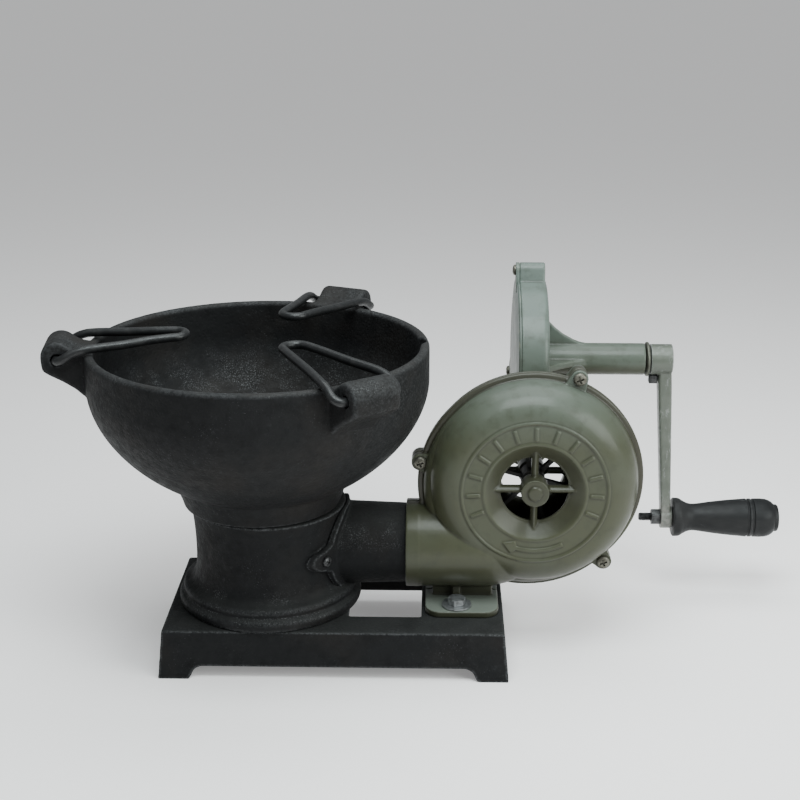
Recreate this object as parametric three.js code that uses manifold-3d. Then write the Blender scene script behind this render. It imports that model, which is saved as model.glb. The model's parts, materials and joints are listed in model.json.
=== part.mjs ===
// Hand-cranked blacksmith's forge: a cast fire bowl on a hollow pedestal and a base frame, blown by a
// centrifugal blower that a crank turns through a worm drive.
// Millimetres, +Z up. Design frame: origin on the floor under the bowl's axis, +X towards the crank handle,
// +Y to the gear case. The exported group is shifted so that its origin is the bottom centre of its box.
import * as THREE from 'three';
import { mergeVertices } from 'three/addons/utils/BufferGeometryUtils.js';
import Module from 'manifold-3d';

const wasm = await Module();
wasm.setup();

// ---------------------------------------------------------------- driving dimensions
const gap = 0.3;                                   // between pieces that touch
const bowl = { rimR: 178, rimZ: 339, wall: 10, beltZ: 300, depth: 134, power: 1.8, holeR: 58, seatZ: 165 };
const boss = { r: 88.5, top: 187 };                // the round the bowl stands on
const grate = { r: 66, z: 178, thick: 6, slot: 9, pitch: 19, slotR: 54 };
const lug = { half: 27, pivotR: 203, pivotZ: 333, holeR: 6, holeDeep: 13 };
const lugAngles = { left: 187, front: -53, back: 67 };
const wire = { r: 4.6, side: 34, tipBend: 13, tipZ: 350, reach: 18 };
const wireTipR = { left: 74, front: 62, back: 68 };
const notch = { angle: 5, width: 30, z0: 308 };
const column = { x: 6, boreR: 70, airR: 40, waistR: 78.6 };
const base = { x0: -99, x1: 258, halfY: 93, top: 53.5, plate: 6.5, wall: 6.5, flare: 5, skirtZ: 14, leg: 25 };
const baseBolt = { angles: [45, 135, 225, 315], circleR: 84, r: 5, holeR: 5.3, headR: 9.2, head: 6.5, top: 68 };
const hatch = { x0: 94, x1: 171, halfY: 53.5 };    // the opening through the base plate
const pipe = { z: 116, r0: 46.5, r1: 41.8, wall: 4.5, endX: 176, flangeR: 52, flange: 6, pad: 3 };
const pipeEar = { y: 58, z: 118, r: 11 };
const fan = { x: 288, z: 192, shaftR: 6, bladeR: 98, blades: 6 };
const shell = { r: 117, lip: 6, domeR: 112.5, faceR: 76, faceY: 47, rearY: 34, rearFaceR: 80, wall: 4.2 };
const inlet = { coneR: 53, r: 35.5, deep: 11.5, hubR: 14.6, spoke: 7 };
const neck = { r: 47, x0: 154, x1: 268, z: 116 };
const scroll = { x: 283, z: 186.5, r: 117, edgeR: 112.5, faceR: 84, depth: 30 };
const shellLugs = [68, 171, -50];                  // degrees round the fan axis
const shellLug = { at: 121, r: 9 };
const foot = { x0: 175, x1: 253, halfY: 57, top: 60.3, boltX: 208.5, boltY: 40, webTop: 84, holeR: 5.4 };
const saddle = { x0: 259, x1: 321, z0: 248, z1: 292, y1: 41 };   // where the gear case sits on the casing
const saddleScrews = [[267, 254], [313, 254], [267, 285], [313, 285]];
const crank = { y: 127, z: 286, shaftR: 8, handleZ: 95 };
const gearbox = { x0: 276, x1: 306, r: 91, cavityR: 84, wall: 4, lugAt: 101.5, lugR: 8.5 };
const gearboxLugs = [90, -25, 220];                // degrees round the crank shaft
const gusset = [[-1, 50], [12, 36], [32, 22], [46, 17.8]];       // [along, out] from the case's face
const sleeve = { r: 17.8, x1: 418, bore: 12.3 };
const worm = { starts: 3, r: 16, lead: 41.9, y0: 102, y1: 152, outer: 18.4, root: 12.6 };
const wormHouse = { r: 25, boreR: 20.5, y0: 96, y1: 172, capY: 161 };
const wheel = { teeth: 36, r: 78, outer: 80.3, root: 74.2, half: 7, bore: 8.3 };
const arm = { hubR: 17, hubX0: 424.6, hubX1: 449, bossR: 13, bossX0: 446, bossX1: 459, halfY: 9,
  screwX: 429, headHalf: 4.2 };
const grip = { x0: 460, x1: 581, r: 22.4, capR: 15.6, bore: 5.4, sinkR: 9.4, sinkX: 571 };

// ---------------------------------------------------------------- solids
const deg = THREE.MathUtils.degToRad;
const v2 = (x, y) => new THREE.Vector2(x, y);
const v3 = (x, y, z) => new THREE.Vector3(x, y, z);

function signedVolume(position, index) {
  let sum = 0;
  const a = v3(0, 0, 0), b = v3(0, 0, 0), c = v3(0, 0, 0);
  for (let i = 0; i < index.length; i += 3) {
    a.fromBufferAttribute(position, index[i]);
    b.fromBufferAttribute(position, index[i + 1]);
    c.fromBufferAttribute(position, index[i + 2]);
    sum += a.dot(b.cross(c)) / 6;
  }
  return sum;
}

// Turns a closed three.js geometry into a solid with its faces pointing out.
function solid(source) {
  const geometry = source.clone();
  geometry.deleteAttribute('normal');
  geometry.deleteAttribute('uv');
  const merged = mergeVertices(geometry, 1e-3);
  const { position } = merged.attributes;
  const index = [];
  for (let i = 0; i < merged.index.count; i += 3) {
    const [a, b, c] = [merged.index.getX(i), merged.index.getX(i + 1), merged.index.getX(i + 2)];
    if (a !== b && b !== c && c !== a) index.push(a, b, c);
  }
  if (signedVolume(position, index) < 0) index.reverse();
  const mesh = new wasm.Mesh({
    numProp: 3,
    vertProperties: new Float32Array(position.array),
    triVerts: new Uint32Array(index),
  });
  return new wasm.Manifold(mesh);
}

function geometryOf(body) {
  const mesh = body.getMesh();
  const geometry = new THREE.BufferGeometry();
  geometry.setAttribute('position', new THREE.BufferAttribute(new Float32Array(mesh.vertProperties), 3));
  geometry.setIndex(new THREE.BufferAttribute(new Uint32Array(mesh.triVerts), 1));
  geometry.computeVertexNormals();
  return geometry;
}

const join = (...bodies) => bodies.reduce((sum, body) => sum.add(body));

function block(x0, x1, y0, y1, z0, z1) {
  const box = new THREE.BoxGeometry(x1 - x0, y1 - y0, z1 - z0);
  box.translate((x0 + x1) / 2, (y0 + y1) / 2, (z0 + z1) / 2);
  return solid(box);
}

// A block whose foot is wider than its top by flare on every side.
function flaredBlock(x0, x1, y0, y1, z0, z1, flare) {
  const box = new THREE.BoxGeometry(x1 - x0, y1 - y0, z1 - z0);
  const { position } = box.attributes;
  for (let i = 0; i < position.count; i += 1) {
    const grow = position.getZ(i) < 0 ? flare : 0;
    position.setX(i, position.getX(i) + Math.sign(position.getX(i)) * grow);
    position.setY(i, position.getY(i) + Math.sign(position.getY(i)) * grow);
  }
  box.translate((x0 + x1) / 2, (y0 + y1) / 2, (z0 + z1) / 2);
  return solid(box);
}

// Round bars along each axis. sides is 6 for hexagons.
function barX(r, x0, x1, y, z, sides = 24, r1 = r) {
  const bar = new THREE.CylinderGeometry(r, r1, x1 - x0, sides);
  return solid(bar.rotateZ(Math.PI / 2).translate((x0 + x1) / 2, y, z));
}

function barY(r, y0, y1, x, z, sides = 24) {
  const bar = new THREE.CylinderGeometry(r, r, y1 - y0, sides);
  return solid(bar.translate(x, (y0 + y1) / 2, z));
}

function barZ(r, z0, z1, x, y, sides = 24) {
  const bar = new THREE.CylinderGeometry(r, r, z1 - z0, sides);
  return solid(bar.rotateX(Math.PI / 2).translate(x, y, (z0 + z1) / 2));
}

// A profile of [radius, height] points turned about Z, or moved to another axis by the caller.
function turned(points, sides) {
  const closed = [...points, points[0]].map(([r, h]) => v2(r, h));
  return new THREE.LatheGeometry(closed, sides).rotateX(Math.PI / 2);
}

const turnedZ = (points, sides) => solid(turned(points, sides));
const turnedY = (points, x, z, sides) => solid(turned(points, sides).rotateX(-Math.PI / 2).translate(x, 0, z));
const turnedX = (points, y, z, sides) => solid(turned(points, sides).rotateY(Math.PI / 2).translate(0, y, z));

// An outline of [a, b] points pushed along the third axis.
function outline(points, depth) {
  const shape = new THREE.Shape(points.map(([a, b]) => v2(a, b)));
  return new THREE.ExtrudeGeometry(shape, { depth, bevelEnabled: false, curveSegments: 6 });
}

// [y, z] outline along +X from x0 to x1.
function plateX(points, x0, x1) {
  const g = outline(points, x1 - x0);
  return solid(g.applyMatrix4(new THREE.Matrix4().makeBasis(v3(0, 1, 0), v3(0, 0, 1), v3(1, 0, 0)))
    .translate(x0, 0, 0));
}

// [x, z] outline along +Y from y0 to y1.
function plateY(points, y0, y1) {
  return solid(outline(points, y1 - y0).rotateX(Math.PI / 2).translate(0, y1, 0));
}

function arc(cx, cy, rx, ry, from, to, steps) {
  return Array.from({ length: steps + 1 }, (_, i) => {
    const a = deg(from + ((to - from) * i) / steps);
    return [cx + rx * Math.cos(a), cy + ry * Math.sin(a)];
  });
}

// A round pad at (y, z) joined by straight sides to a circle of radius r about (cy, cz).
function tab(cy, cz, r, y, z, padR) {
  const away = Math.atan2(z - cz, y - cy) * (180 / Math.PI);
  return [...arc(cy, cz, r, r, away + 90, away + 270, 4), ...arc(y, z, padR, padR, away - 90, away + 90, 5)];
}

// ---------------------------------------------------------------- bowl and grate
// The curve below the bowl's belt, as [radius, height] points from the belt in to radius r.
function bowlCurve(rim, depth, r, steps) {
  return Array.from({ length: steps + 1 }, (_, i) => {
    const x = rim - ((rim - r) * i * (i + steps)) / (2 * steps * steps);
    return [x, bowl.beltZ - depth * (1 - (x / rim) ** bowl.power) ** (1 / bowl.power)];
  });
}

function bowlOuter() {
  return [[boss.r - 3, bowl.seatZ + gap], [boss.r, bowl.seatZ + 3], [boss.r, boss.top],
    ...bowlCurve(bowl.rimR, bowl.depth, boss.r + 3, 8).reverse(),
    [bowl.rimR, bowl.rimZ - 6], [bowl.rimR - 2.5, bowl.rimZ - 1.2], [bowl.rimR - 5, bowl.rimZ]];
}

function bowlInner() {
  const r = bowl.rimR - bowl.wall;
  return [[r + 2, bowl.rimZ - 1.2], [r, bowl.rimZ - 6], ...bowlCurve(r, bowl.depth - bowl.wall, grate.r, 7),
    [grate.r, grate.z], [bowl.holeR, grate.z], [bowl.holeR, bowl.seatZ + gap]];
}

// The cast lug that carries a pot support, along the rim's tangent, drawn for the +X side.
function bowlLug() {
  const top = arc(lug.pivotR, lug.pivotZ, 17, 19, 12, 118, 4);
  const side = [[170, 290], [178, 293], [186, 302], [198, 310], [212, 317], [219, 322]];
  const body = plateY([...side, ...top, [182, 341.5], [172, 338]], -lug.half, lug.half);
  const hole = barY(lug.holeR, 0, lug.holeDeep + 1, lug.pivotR, lug.pivotZ, 10);
  return body
    .subtract(hole.translate([0, lug.half - lug.holeDeep, 0]))
    .subtract(hole.translate([0, -lug.half - 1, 0]));
}

function fireBowl() {
  let body = turnedZ([...bowlOuter(), ...bowlInner()], 36);
  for (const angle of Object.values(lugAngles)) body = body.add(bowlLug().rotate([0, 0, angle]));
  const cut = barZ(notch.width / 2, notch.z0, bowl.rimZ + 1, bowl.rimR - bowl.wall - 8, 0, 12);
  return body.subtract(cut.rotate([0, 0, notch.angle]));
}

function fireGrate() {
  let body = barZ(grate.r - 0.6, grate.z + gap, grate.z + grate.thick, 0, 0, 28);
  for (const step of [-2, -1, 0, 1, 2]) {
    const x = step * grate.pitch;
    const reach = Math.sqrt(grate.slotR ** 2 - x ** 2);
    body = body.subtract(block(x - grate.slot / 2, x + grate.slot / 2, -reach, reach, grate.z, grate.z + 10));
  }
  return body;
}

// A bent wire loop whose two ends turn into the lug's end holes, drawn for the +X side.
function potSupport(tipR) {
  const flat = [
    [lug.pivotR, wire.reach, lug.pivotZ], [lug.pivotR, wire.side - 8, lug.pivotZ],
    [lug.pivotR - 2, wire.side - 1.5, lug.pivotZ + 0.8], [lug.pivotR - 10, wire.side + 1, lug.pivotZ + 4.5],
    [lug.pivotR - 19, wire.side, lug.pivotZ + 10], [lug.pivotR - 34, wire.side - 2.5, lug.pivotZ + 12.5],
    [135, 24.5, 347], [tipR + 36, wire.tipBend + 5, wire.tipZ - 1], [tipR + 13, wire.tipBend + 0.5, wire.tipZ],
    [tipR + 3.5, wire.tipBend * 0.72, wire.tipZ],
  ];
  const side = (sign) => flat.map(([x, y, z]) => v3(x, y * sign, z));
  const curve = new THREE.CatmullRomCurve3(
    [...side(1), v3(tipR, 0, wire.tipZ), ...side(-1).reverse()], false, 'centripetal');
  const section = new THREE.Shape(arc(0, 0, wire.r, wire.r, 0, 300, 5).map(([a, b]) => v2(a, b)));
  return solid(new THREE.ExtrudeGeometry(section, { steps: 40, bevelEnabled: false, extrudePath: curve }));
}

// ---------------------------------------------------------------- pedestal, pipe and base
// The pedestal's outer profile, moved out by grow.
function columnOuter(grow, bottom) {
  const waist = column.waistR;
  return [[98, bottom], [98.5, 60], [96.5, 66], [92, 67.5], [93.5, 71], [91.5, 77], [86, 79.5], [81.5, 84],
    [waist + 0.8, 93], [waist, 105], [waist, 147], [waist + 1.2, 155], [boss.r - 5, bowl.seatZ]]
    .map(([r, z]) => [r + grow, z]);
}

const columnSolid = (grow) => turnedZ(
  [[0, base.top - 1], ...columnOuter(grow, base.top - 1), [0, bowl.seatZ]], 30).translate([column.x, 0, 0]);

// A round solid on the pedestal's axis that faces of the pipe joint are cut to.
const columnBar = (r, z0 = 60, z1 = 170) => barZ(r, z0, z1, column.x, 0, 30);

// A [y, z] face pushed along +X: the round of the pipe flange with an ear on each side.
function flangeFace(grow, x0, x1) {
  const disc = barX(pipe.flangeR + grow, x0, x1, 0, pipe.z, 20);
  const ear = (side) => plateX(tab(0, pipe.z, 44, side * pipeEar.y, pipeEar.z, pipeEar.r + grow), x0, x1);
  return join(disc, ear(1), ear(-1)).intersect(block(0, 200, -80, 80, 66, bowl.seatZ - 1));
}

function pedestal() {
  const shellBody = turnedZ([...columnOuter(0, base.top + gap), [column.boreR, bowl.seatZ],
    [column.boreR, base.top + gap]], 30).translate([column.x, 0, 0]);
  const pad = flangeFace(4, 20, 120).intersect(columnBar(column.waistR + pipe.pad))
    .subtract(columnBar(column.boreR + 3, 0, 200));
  let body = shellBody.add(pad).subtract(barX(column.airR, 20, 130, 0, pipe.z, 20));
  for (const side of [1, -1]) body = body.subtract(pipeScrewBar(side, 3.3, -24, 20));
  for (const angle of baseBolt.angles) {
    body = body.subtract(baseBoltBar(angle, baseBolt.holeR, base.top - 3, baseBolt.top + 0.5));
  }
  return body;
}

// A bar on the axis of a bolt that holds the pedestal's foot to the base.
const baseBoltBar = (angle, r, z0, z1, sides = 12) => barZ(r, z0, z1,
  column.x + baseBolt.circleR * Math.cos(deg(angle)), baseBolt.circleR * Math.sin(deg(angle)), sides);

// A bar on the axis of a flange screw, which stands square to the pedestal's wall.
function pipeScrewBar(side, r, from, to, sides = 10) {
  const wallR = column.waistR + pipe.pad + pipe.flange;
  const turn = Math.asin((side * pipeEar.y) / wallR) * (180 / Math.PI);
  return barX(r, from, to, 0, 0, sides).translate([wallR, 0, 0]).rotate([0, 0, turn])
    .translate([column.x, 0, pipeEar.z]);
}

function airPipe() {
  const tubeX0 = 40;
  const bore = barX(pipe.r0 - pipe.wall, tubeX0 - 1, pipe.endX + 1, 0, pipe.z, 20, pipe.r1 - pipe.wall);
  const tube = barX(pipe.r0, tubeX0, pipe.endX, 0, pipe.z, 20, pipe.r1);
  const flange = flangeFace(0, 20, 120).intersect(columnBar(column.waistR + pipe.pad + pipe.flange));
  const against = join(columnSolid(gap), columnBar(column.waistR + pipe.pad + gap));
  let body = join(tube, flange).subtract(against).subtract(bore);
  for (const side of [1, -1]) body = body.subtract(pipeScrewBar(side, 3.5, -20, 20));
  return body;
}

const pipeScrew = (side) => join(pipeScrewBar(side, 3, -15, 1, 10), pipeScrewBar(side, 5.5, gap, 4.3, 12));

function baseFrame() {
  const { x0, x1, halfY, top, wall, flare, leg, skirtZ } = base;
  const outer = flaredBlock(x0, x1, -halfY, halfY, 0, top, flare);
  const inner = flaredBlock(x0 + wall, x1 - wall, -halfY + wall, halfY - wall, -1, top - base.plate, flare);
  const arch = (a, b) => [[a, -2], [a + 6, skirtZ - 4], ...arc(a + 14, skirtZ - 8, 8, 8, 150, 90, 3),
    ...arc(b - 14, skirtZ - 8, 8, 8, 90, 30, 3), [b - 6, skirtZ - 4], [b, -2]];
  let body = outer.subtract(inner)
    .subtract(plateY(arch(x0 + leg, x1 - leg), -halfY - 20, halfY + 20))
    .subtract(plateX(arch(-halfY + leg, halfY - leg), x0 - 20, x1 + 20))
    .subtract(block(hatch.x0, hatch.x1, -hatch.halfY, hatch.halfY, 0, top + 1));
  for (const side of [1, -1]) body = body.subtract(footBoltBar(side, foot.holeR, 40, 60));
  for (const angle of baseBolt.angles) body = body.subtract(baseBoltBar(angle, baseBolt.holeR, 40, 60));
  return body;
}

const footBoltBar = (side, r, z0, z1, sides = 14) => barZ(r, z0, z1, foot.boltX, side * foot.boltY, sides);

// A hex bolt with its head under the base plate, up into the pedestal's foot.
function pedestalBolt(angle) {
  const under = base.top - base.plate - gap;
  return join(baseBoltBar(angle, baseBolt.r, under - 1, baseBolt.top),
    baseBoltBar(angle, baseBolt.headR, under - baseBolt.head, under, 6));
}

// ---------------------------------------------------------------- blower casings
// Profiles are [radius, distance from the split plane]; side is -1 for the front half, +1 for the rear.
function shellOuter(faceR, depth) {
  return [[0, 0], [shell.r, 0], [shell.r, shell.lip], [shell.domeR, shell.lip + 0.5],
    ...arc(faceR, shell.lip + 2, shell.domeR - faceR, depth - shell.lip - 2, 0, 90, 3),
    [inlet.coneR, depth], [inlet.r + 1.5, depth - inlet.deep], [0, depth - inlet.deep]];
}

function shellInner(faceR, depth) {
  const { wall } = shell;
  return [[0, -1], [shell.domeR - wall, -1], [shell.domeR - wall, shell.lip + 2],
    ...arc(faceR, shell.lip + 2, shell.domeR - wall - faceR, depth - wall - shell.lip - 2, 20, 90, 2),
    [inlet.coneR + 2.5, depth - wall], [inlet.r + 3, depth - inlet.deep - wall],
    [0, depth - inlet.deep - wall]];
}

const onSide = (points, side) => points.map(([r, h]) => [r, h * side]);

function shellHalf(side) {
  const faceR = side < 0 ? shell.faceR : shell.rearFaceR;
  const depth = side < 0 ? shell.faceY : shell.rearY;
  const near = side < 0 ? [-60, 0] : [gap, 60];
  const half = block(100, 420, near[0], near[1], 50, 330);
  const dome = turnedY(onSide(shellOuter(faceR, depth), side), fan.x, fan.z, 32);
  let outer = join(dome, scrollSide(side), barX(neck.r, neck.x0, neck.x1, 0, neck.z, 24));
  for (const angle of shellLugs) {
    const at = polar(angle, shellLug.at);
    const away = { x: at.x - fan.x, z: at.z - fan.z };
    const ear = plateY(tab(fan.x, fan.z, 40, fan.x + away.x, fan.z + away.z, shellLug.r), -10, 14);
    outer = outer.add(ear.intersect(ringRound(100, 140)));
  }
  outer = outer.add(footBlock());
  let body = outer.intersect(half)
    .subtract(turnedY(onSide(shellInner(faceR, depth), side), fan.x, fan.z, 32))
    .subtract(barX(neck.r - 4, neck.x0 - 1, neck.x1, 0, neck.z, 24))
    .subtract(barY(inlet.r, -60, 60, fan.x, fan.z, 24));
  const out = depth - inlet.deep;
  body = body.add(spider(out, side).intersect(half));
  body = body.subtract(side < 0 ? barY(10, -46, -20, fan.x, fan.z, 20) : barY(10, 5, 60, fan.x, fan.z, 20));
  for (const s of [1, -1]) body = body.subtract(footBoltBar(s, foot.holeR, 40, 75));
  return body;
}

const polar = (angle, r) => ({ x: fan.x + r * Math.cos(deg(angle)), z: fan.z + r * Math.sin(deg(angle)) });

const ringRound = (r0, r1) => barY(r1, -60, 60, fan.x, fan.z, 36).subtract(barY(r0, -61, 61, fan.x, fan.z, 36));

// A shallower round set down and left of the fan's, which carries the casing's outline into the neck.
function scrollSide(side) {
  const { x, z, r, edgeR, faceR, depth } = scroll;
  return turnedY(onSide([[0, 0], [r, 0], [r, shell.lip], [edgeR, shell.lip + 0.5],
    [faceR + 12, depth * 0.7], [faceR, depth], [0, depth]], side), x, z, 32);
}

// The hub and its four spokes across an inlet.
function spider(out, side) {
  const span = (a, b) => (side < 0 ? [-b, -a] : [a, b]);
  const [h0, h1] = span(out - 10, out + (side < 0 ? 14.5 : 9));
  const [s0, s1] = span(out - 4, out + 5);
  const reach = inlet.r + 5;
  const half = inlet.spoke / 2;
  return join(barY(inlet.hubR, h0, h1, fan.x, fan.z, 20),
    block(fan.x - reach, fan.x + reach, s0, s1, fan.z - half, fan.z + half),
    block(fan.x - half, fan.x + half, s0, s1, fan.z - reach, fan.z + reach));
}

// The pad that stands on the base, and the webs that carry the neck.
function footBlock() {
  const { x0, x1, halfY, top } = foot;
  const bottom = base.top + gap;
  const pad = block(x0, x1, -halfY, halfY, bottom, top);
  const web = block(x0 + 8, x1 - 6, -14, 14, bottom, foot.webTop);
  const cross = block(foot.boltX - 4, foot.boltX + 4, -23, 23, bottom, foot.webTop);
  return join(pad, web, cross);
}

function casingFront() {
  let body = shellHalf(-1);
  for (const angle of shellLugs) {
    const { x, z } = polar(angle, shellLug.at);
    body = body.subtract(barY(3.4, -20, 1, x, z, 12));
  }
  const cap = barY(7, -51, -shell.faceY - 1, fan.x, fan.z, 20);
  return body.add(cap);
}

function casingRear() {
  const pad = block(saddle.x0, saddle.x1, 14, shell.rearY, saddle.z0 - 1, saddle.z1)
    .subtract(turnedY(shellInner(shell.rearFaceR, shell.rearY), fan.x, fan.z, 32));
  let body = shellHalf(1).add(pad);
  for (const angle of shellLugs) {
    const { x, z } = polar(angle, shellLug.at);
    body = body.subtract(barY(3.4, -1, 11, x, z, 12));
  }
  for (const [x, z] of saddleScrews) body = body.subtract(barY(3.4, 22, 40, x, z, 12));
  return body;
}

function casingScrew(angle) {
  const { x, z } = polar(angle, shellLug.at);
  return join(barY(3, -11, 10, x, z, 12), barY(7, -14, -10 - gap, x, z, 16));
}

// ---------------------------------------------------------------- fan and worm
function fanImpeller() {
  let body = barY(13, -14, 10, fan.x, fan.z, 24);
  for (let i = 0; i < fan.blades; i += 1) {
    const arm = block(fan.x + 8, fan.x + 60, -5, 3, fan.z - 2, fan.z + 2);
    const blade = block(fan.x + 46, fan.x + fan.bladeR, -26, 16, fan.z - 1.6, fan.z + 1.6);
    const vane = arm.add(blade).translate([-fan.x, 0, -fan.z])
      .rotate([0, (360 / fan.blades) * i + 15, 0]).translate([fan.x, 0, fan.z]);
    body = body.add(vane);
  }
  return body.subtract(barY(fan.shaftR + gap, -30, 30, fan.x, fan.z, 20));
}

const fanShaft = () => barY(fan.shaftR, -43, 170.5, fan.x, fan.z, 20);

const ringY = (r, bore, y0, y1, sides = 20) => barY(r, y0, y1, fan.x, fan.z, sides)
  .subtract(barY(bore, y0 - 1, y1 + 1, fan.x, fan.z, sides));

const ringX = (r, bore, x0, x1, sides = 20) => barX(r, x0, x1, crank.y, crank.z, sides)
  .subtract(barX(bore, x0 - 1, x1 + 1, crank.y, crank.z, sides));

// A gear outline of straight-sided teeth, as [a, b] points about the origin.
function toothOutline(count, root, outer, rootShare, tipShare, perFlat = 1) {
  const points = [];
  for (let i = 0; i < count; i += 1) {
    const at = (share, r) => {
      const a = (2 * Math.PI * (i + share)) / count;
      points.push([r * Math.cos(a), r * Math.sin(a)]);
    };
    for (let k = 0; k <= perFlat; k += 1) at(-tipShare / 2 + (tipShare * k) / perFlat, outer);
    const gapShare = 1 - rootShare;
    for (let k = 0; k <= perFlat; k += 1) at(0.5 - gapShare / 2 + (gapShare * k) / perFlat, root);
  }
  return points;
}

// An outline swept along Z and turned as it goes by twist radians per millimetre.
function twisted(points, length, steps, twist) {
  const geometry = new THREE.ExtrudeGeometry(new THREE.Shape(points.map(([a, b]) => v2(a, b))),
    { depth: length, steps, bevelEnabled: false });
  const { position } = geometry.attributes;
  for (let i = 0; i < position.count; i += 1) {
    const z = position.getZ(i) - length / 2;
    const [x, y, a] = [position.getX(i), position.getY(i), z * twist];
    position.setXYZ(i, x * Math.cos(a) - y * Math.sin(a), x * Math.sin(a) + y * Math.cos(a), z);
  }
  return geometry;
}

function driveWorm() {
  const length = worm.y1 - worm.y0;
  const section = toothOutline(worm.starts, worm.root, worm.outer, 0.5, 0.22, 2);
  const thread = twisted(section, length, 20, (2 * Math.PI) / worm.lead);
  thread.rotateZ(Math.PI / 2).rotateX(-Math.PI / 2).translate(fan.x, (worm.y0 + worm.y1) / 2, fan.z);
  return solid(thread).subtract(barY(fan.shaftR + gap, 50, 200, fan.x, fan.z, 20));
}

function wormWheel() {
  const section = toothOutline(wheel.teeth, wheel.root, wheel.outer, 0.5, 0.26);
  const lean = (worm.lead / (2 * Math.PI * worm.r)) / wheel.r;
  const rim = twisted(section, 2 * wheel.half, 2, lean);
  rim.rotateY(Math.PI / 2).translate(fan.x, crank.y, crank.z);
  return join(solid(rim), barX(16, fan.x, fan.x + 12, crank.y, crank.z, 24))
    .subtract(barX(wheel.bore, 200, 400, crank.y, crank.z, 20));
}

// ---------------------------------------------------------------- gear case
function lugFace(angle, x0, x1) {
  const y = crank.y + gearbox.lugAt * Math.cos(deg(angle));
  const z = crank.z + gearbox.lugAt * Math.sin(deg(angle));
  return plateX(tab(crank.y, crank.z, 30, y, z, gearbox.lugR), x0, x1)
    .subtract(barX(80, x0 - 1, x1 + 1, crank.y, crank.z, 24));
}

const lugBar = (angle, r, x0, x1, sides = 12) => barX(r, x0, x1,
  crank.y + gearbox.lugAt * Math.cos(deg(angle)), crank.z + gearbox.lugAt * Math.sin(deg(angle)), sides);

// The four webs between the case's face and the crank sleeve, a quarter turn apart.
function gussets() {
  const { y, z } = crank;
  const start = gearbox.x1;
  const points = [[-1, 0], ...gusset, [gusset.at(-1)[0], 0]];
  const web = plateY(points.map(([along, out]) => [along, out]), -3.5, 3.5);
  return join(...[0, 90, 180, 270].map((turn) => web.rotate([turn, 0, 0]))).translate([start, y, z]);
}

function gearCase() {
  const { x0, x1, r, cavityR, wall } = gearbox;
  const { y, z } = crank;
  const back = shell.rearY + gap;
  let body = join(barX(r, x0, x1 - 3, y, z, 32), barX(r - 4, x0, x1, y, z, 32),
    barY(wormHouse.r, wormHouse.y0, wormHouse.y1, fan.x, fan.z, 28), barY(13.5, 43.5, 97, fan.x, fan.z, 24),
    block(saddle.x0, saddle.x1, back, saddle.y1, saddle.z0, saddle.z1), block(276, 304, back, 60, 252, 290));
  for (const angle of gearboxLugs) body = body.add(lugFace(angle, x0, x1 - 2));
  body = body.subtract(barX(cavityR, x0 - 1, x1 - wall, y, z, 32));
  const tube = barX(sleeve.r, x1 - wall, sleeve.x1, y, z, 20);
  body = join(body, tube, gussets())
    .subtract(barX(sleeve.bore, x1 - wall - 1, sleeve.x1 + 1, y, z, 24))
    .subtract(barY(wormHouse.boreR, wormHouse.y0 + 3, wormHouse.y1 + 4, fan.x, fan.z, 28))
    .subtract(barY(fan.shaftR + 3.4, 40, 110, fan.x, fan.z, 20));
  for (const angle of gearboxLugs) body = body.subtract(lugBar(angle, 3.3, x0 - 1, x0 + 18));
  for (const [sx, sz] of saddleScrews) body = body.subtract(barY(3.5, 30, 60, sx, sz, 12));
  return body;
}

function gearCover() {
  const { x0, r } = gearbox;
  const face = [[0, x0 - 6], [42, x0 - 5.6], [72, x0 - 4.2], [r - 4, x0 - 3], [r, x0 - 2], [r, x0 - gap],
    [gearbox.cavityR - 0.6, x0 - gap], [gearbox.cavityR - 0.6, x0 + 2], [80, x0 + 2], [77, x0 - 1.2],
    [42, x0 - 2.6], [0, x0 - 2.8]];
  let body = turnedX(face, crank.y, crank.z, 32);
  for (const angle of gearboxLugs) body = body.add(lugFace(angle, x0 - 4, x0 - gap));
  body = body.subtract(barY(wormHouse.r + 0.6, 60, 190, fan.x, fan.z, 28))
    .subtract(block(saddle.x0 - 9, saddle.x1 + 9, 30, saddle.y1 + 0.5, saddle.z0 - 1, saddle.z1 + 1));
  for (const angle of gearboxLugs) body = body.subtract(lugBar(angle, 3.4, x0 - 10, x0 + 1));
  return body;
}

const coverScrew = (angle) => join(lugBar(angle, 3, gearbox.x0 - 5, gearbox.x0 + 16),
  lugBar(angle, 5.8, gearbox.x0 - 8, gearbox.x0 - 4 - gap, 14));

const caseScrew = ([x, z]) => join(barY(3, 26, 42, x, z, 12), barY(5.8, 41 + gap, 46, x, z, 6));

function wormCap() {
  return barY(wormHouse.boreR - 0.5, wormHouse.capY, 175, fan.x, fan.z, 24)
    .subtract(barY(9.5, 150, 171.5, fan.x, fan.z, 20))
    .subtract(barY(5, 172.5, 176, fan.x, fan.z, 6));
}

// ---------------------------------------------------------------- crank and handle
const wheelNut = () => barX(10.5, 274.6, 280.5, crank.y, crank.z, 6)
  .subtract(barX(wheel.bore, 270, 285, crank.y, crank.z, 16));

function crankArm() {
  const { y, z, handleZ } = crank;
  const hub = barX(arm.hubR, arm.hubX0, arm.hubX1, y, z, 20);
  const eye = barX(arm.bossR, arm.bossX0, arm.bossX1, y, handleZ, 20);
  const bar = plateY([[434, z], [434, z - 24], [447.5, handleZ], [457, handleZ], [449, z - 14],
    [arm.hubX1, z]], y - arm.halfY, y + arm.halfY);
  return join(hub, eye, bar)
    .subtract(barX(crank.shaftR + gap, 400, 460, y, z, 20))
    .subtract(barX(5.3, 400, 465, y, handleZ, 16))
    .subtract(barZ(3.4, z - 40, z, arm.screwX, y, 12));
}

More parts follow.
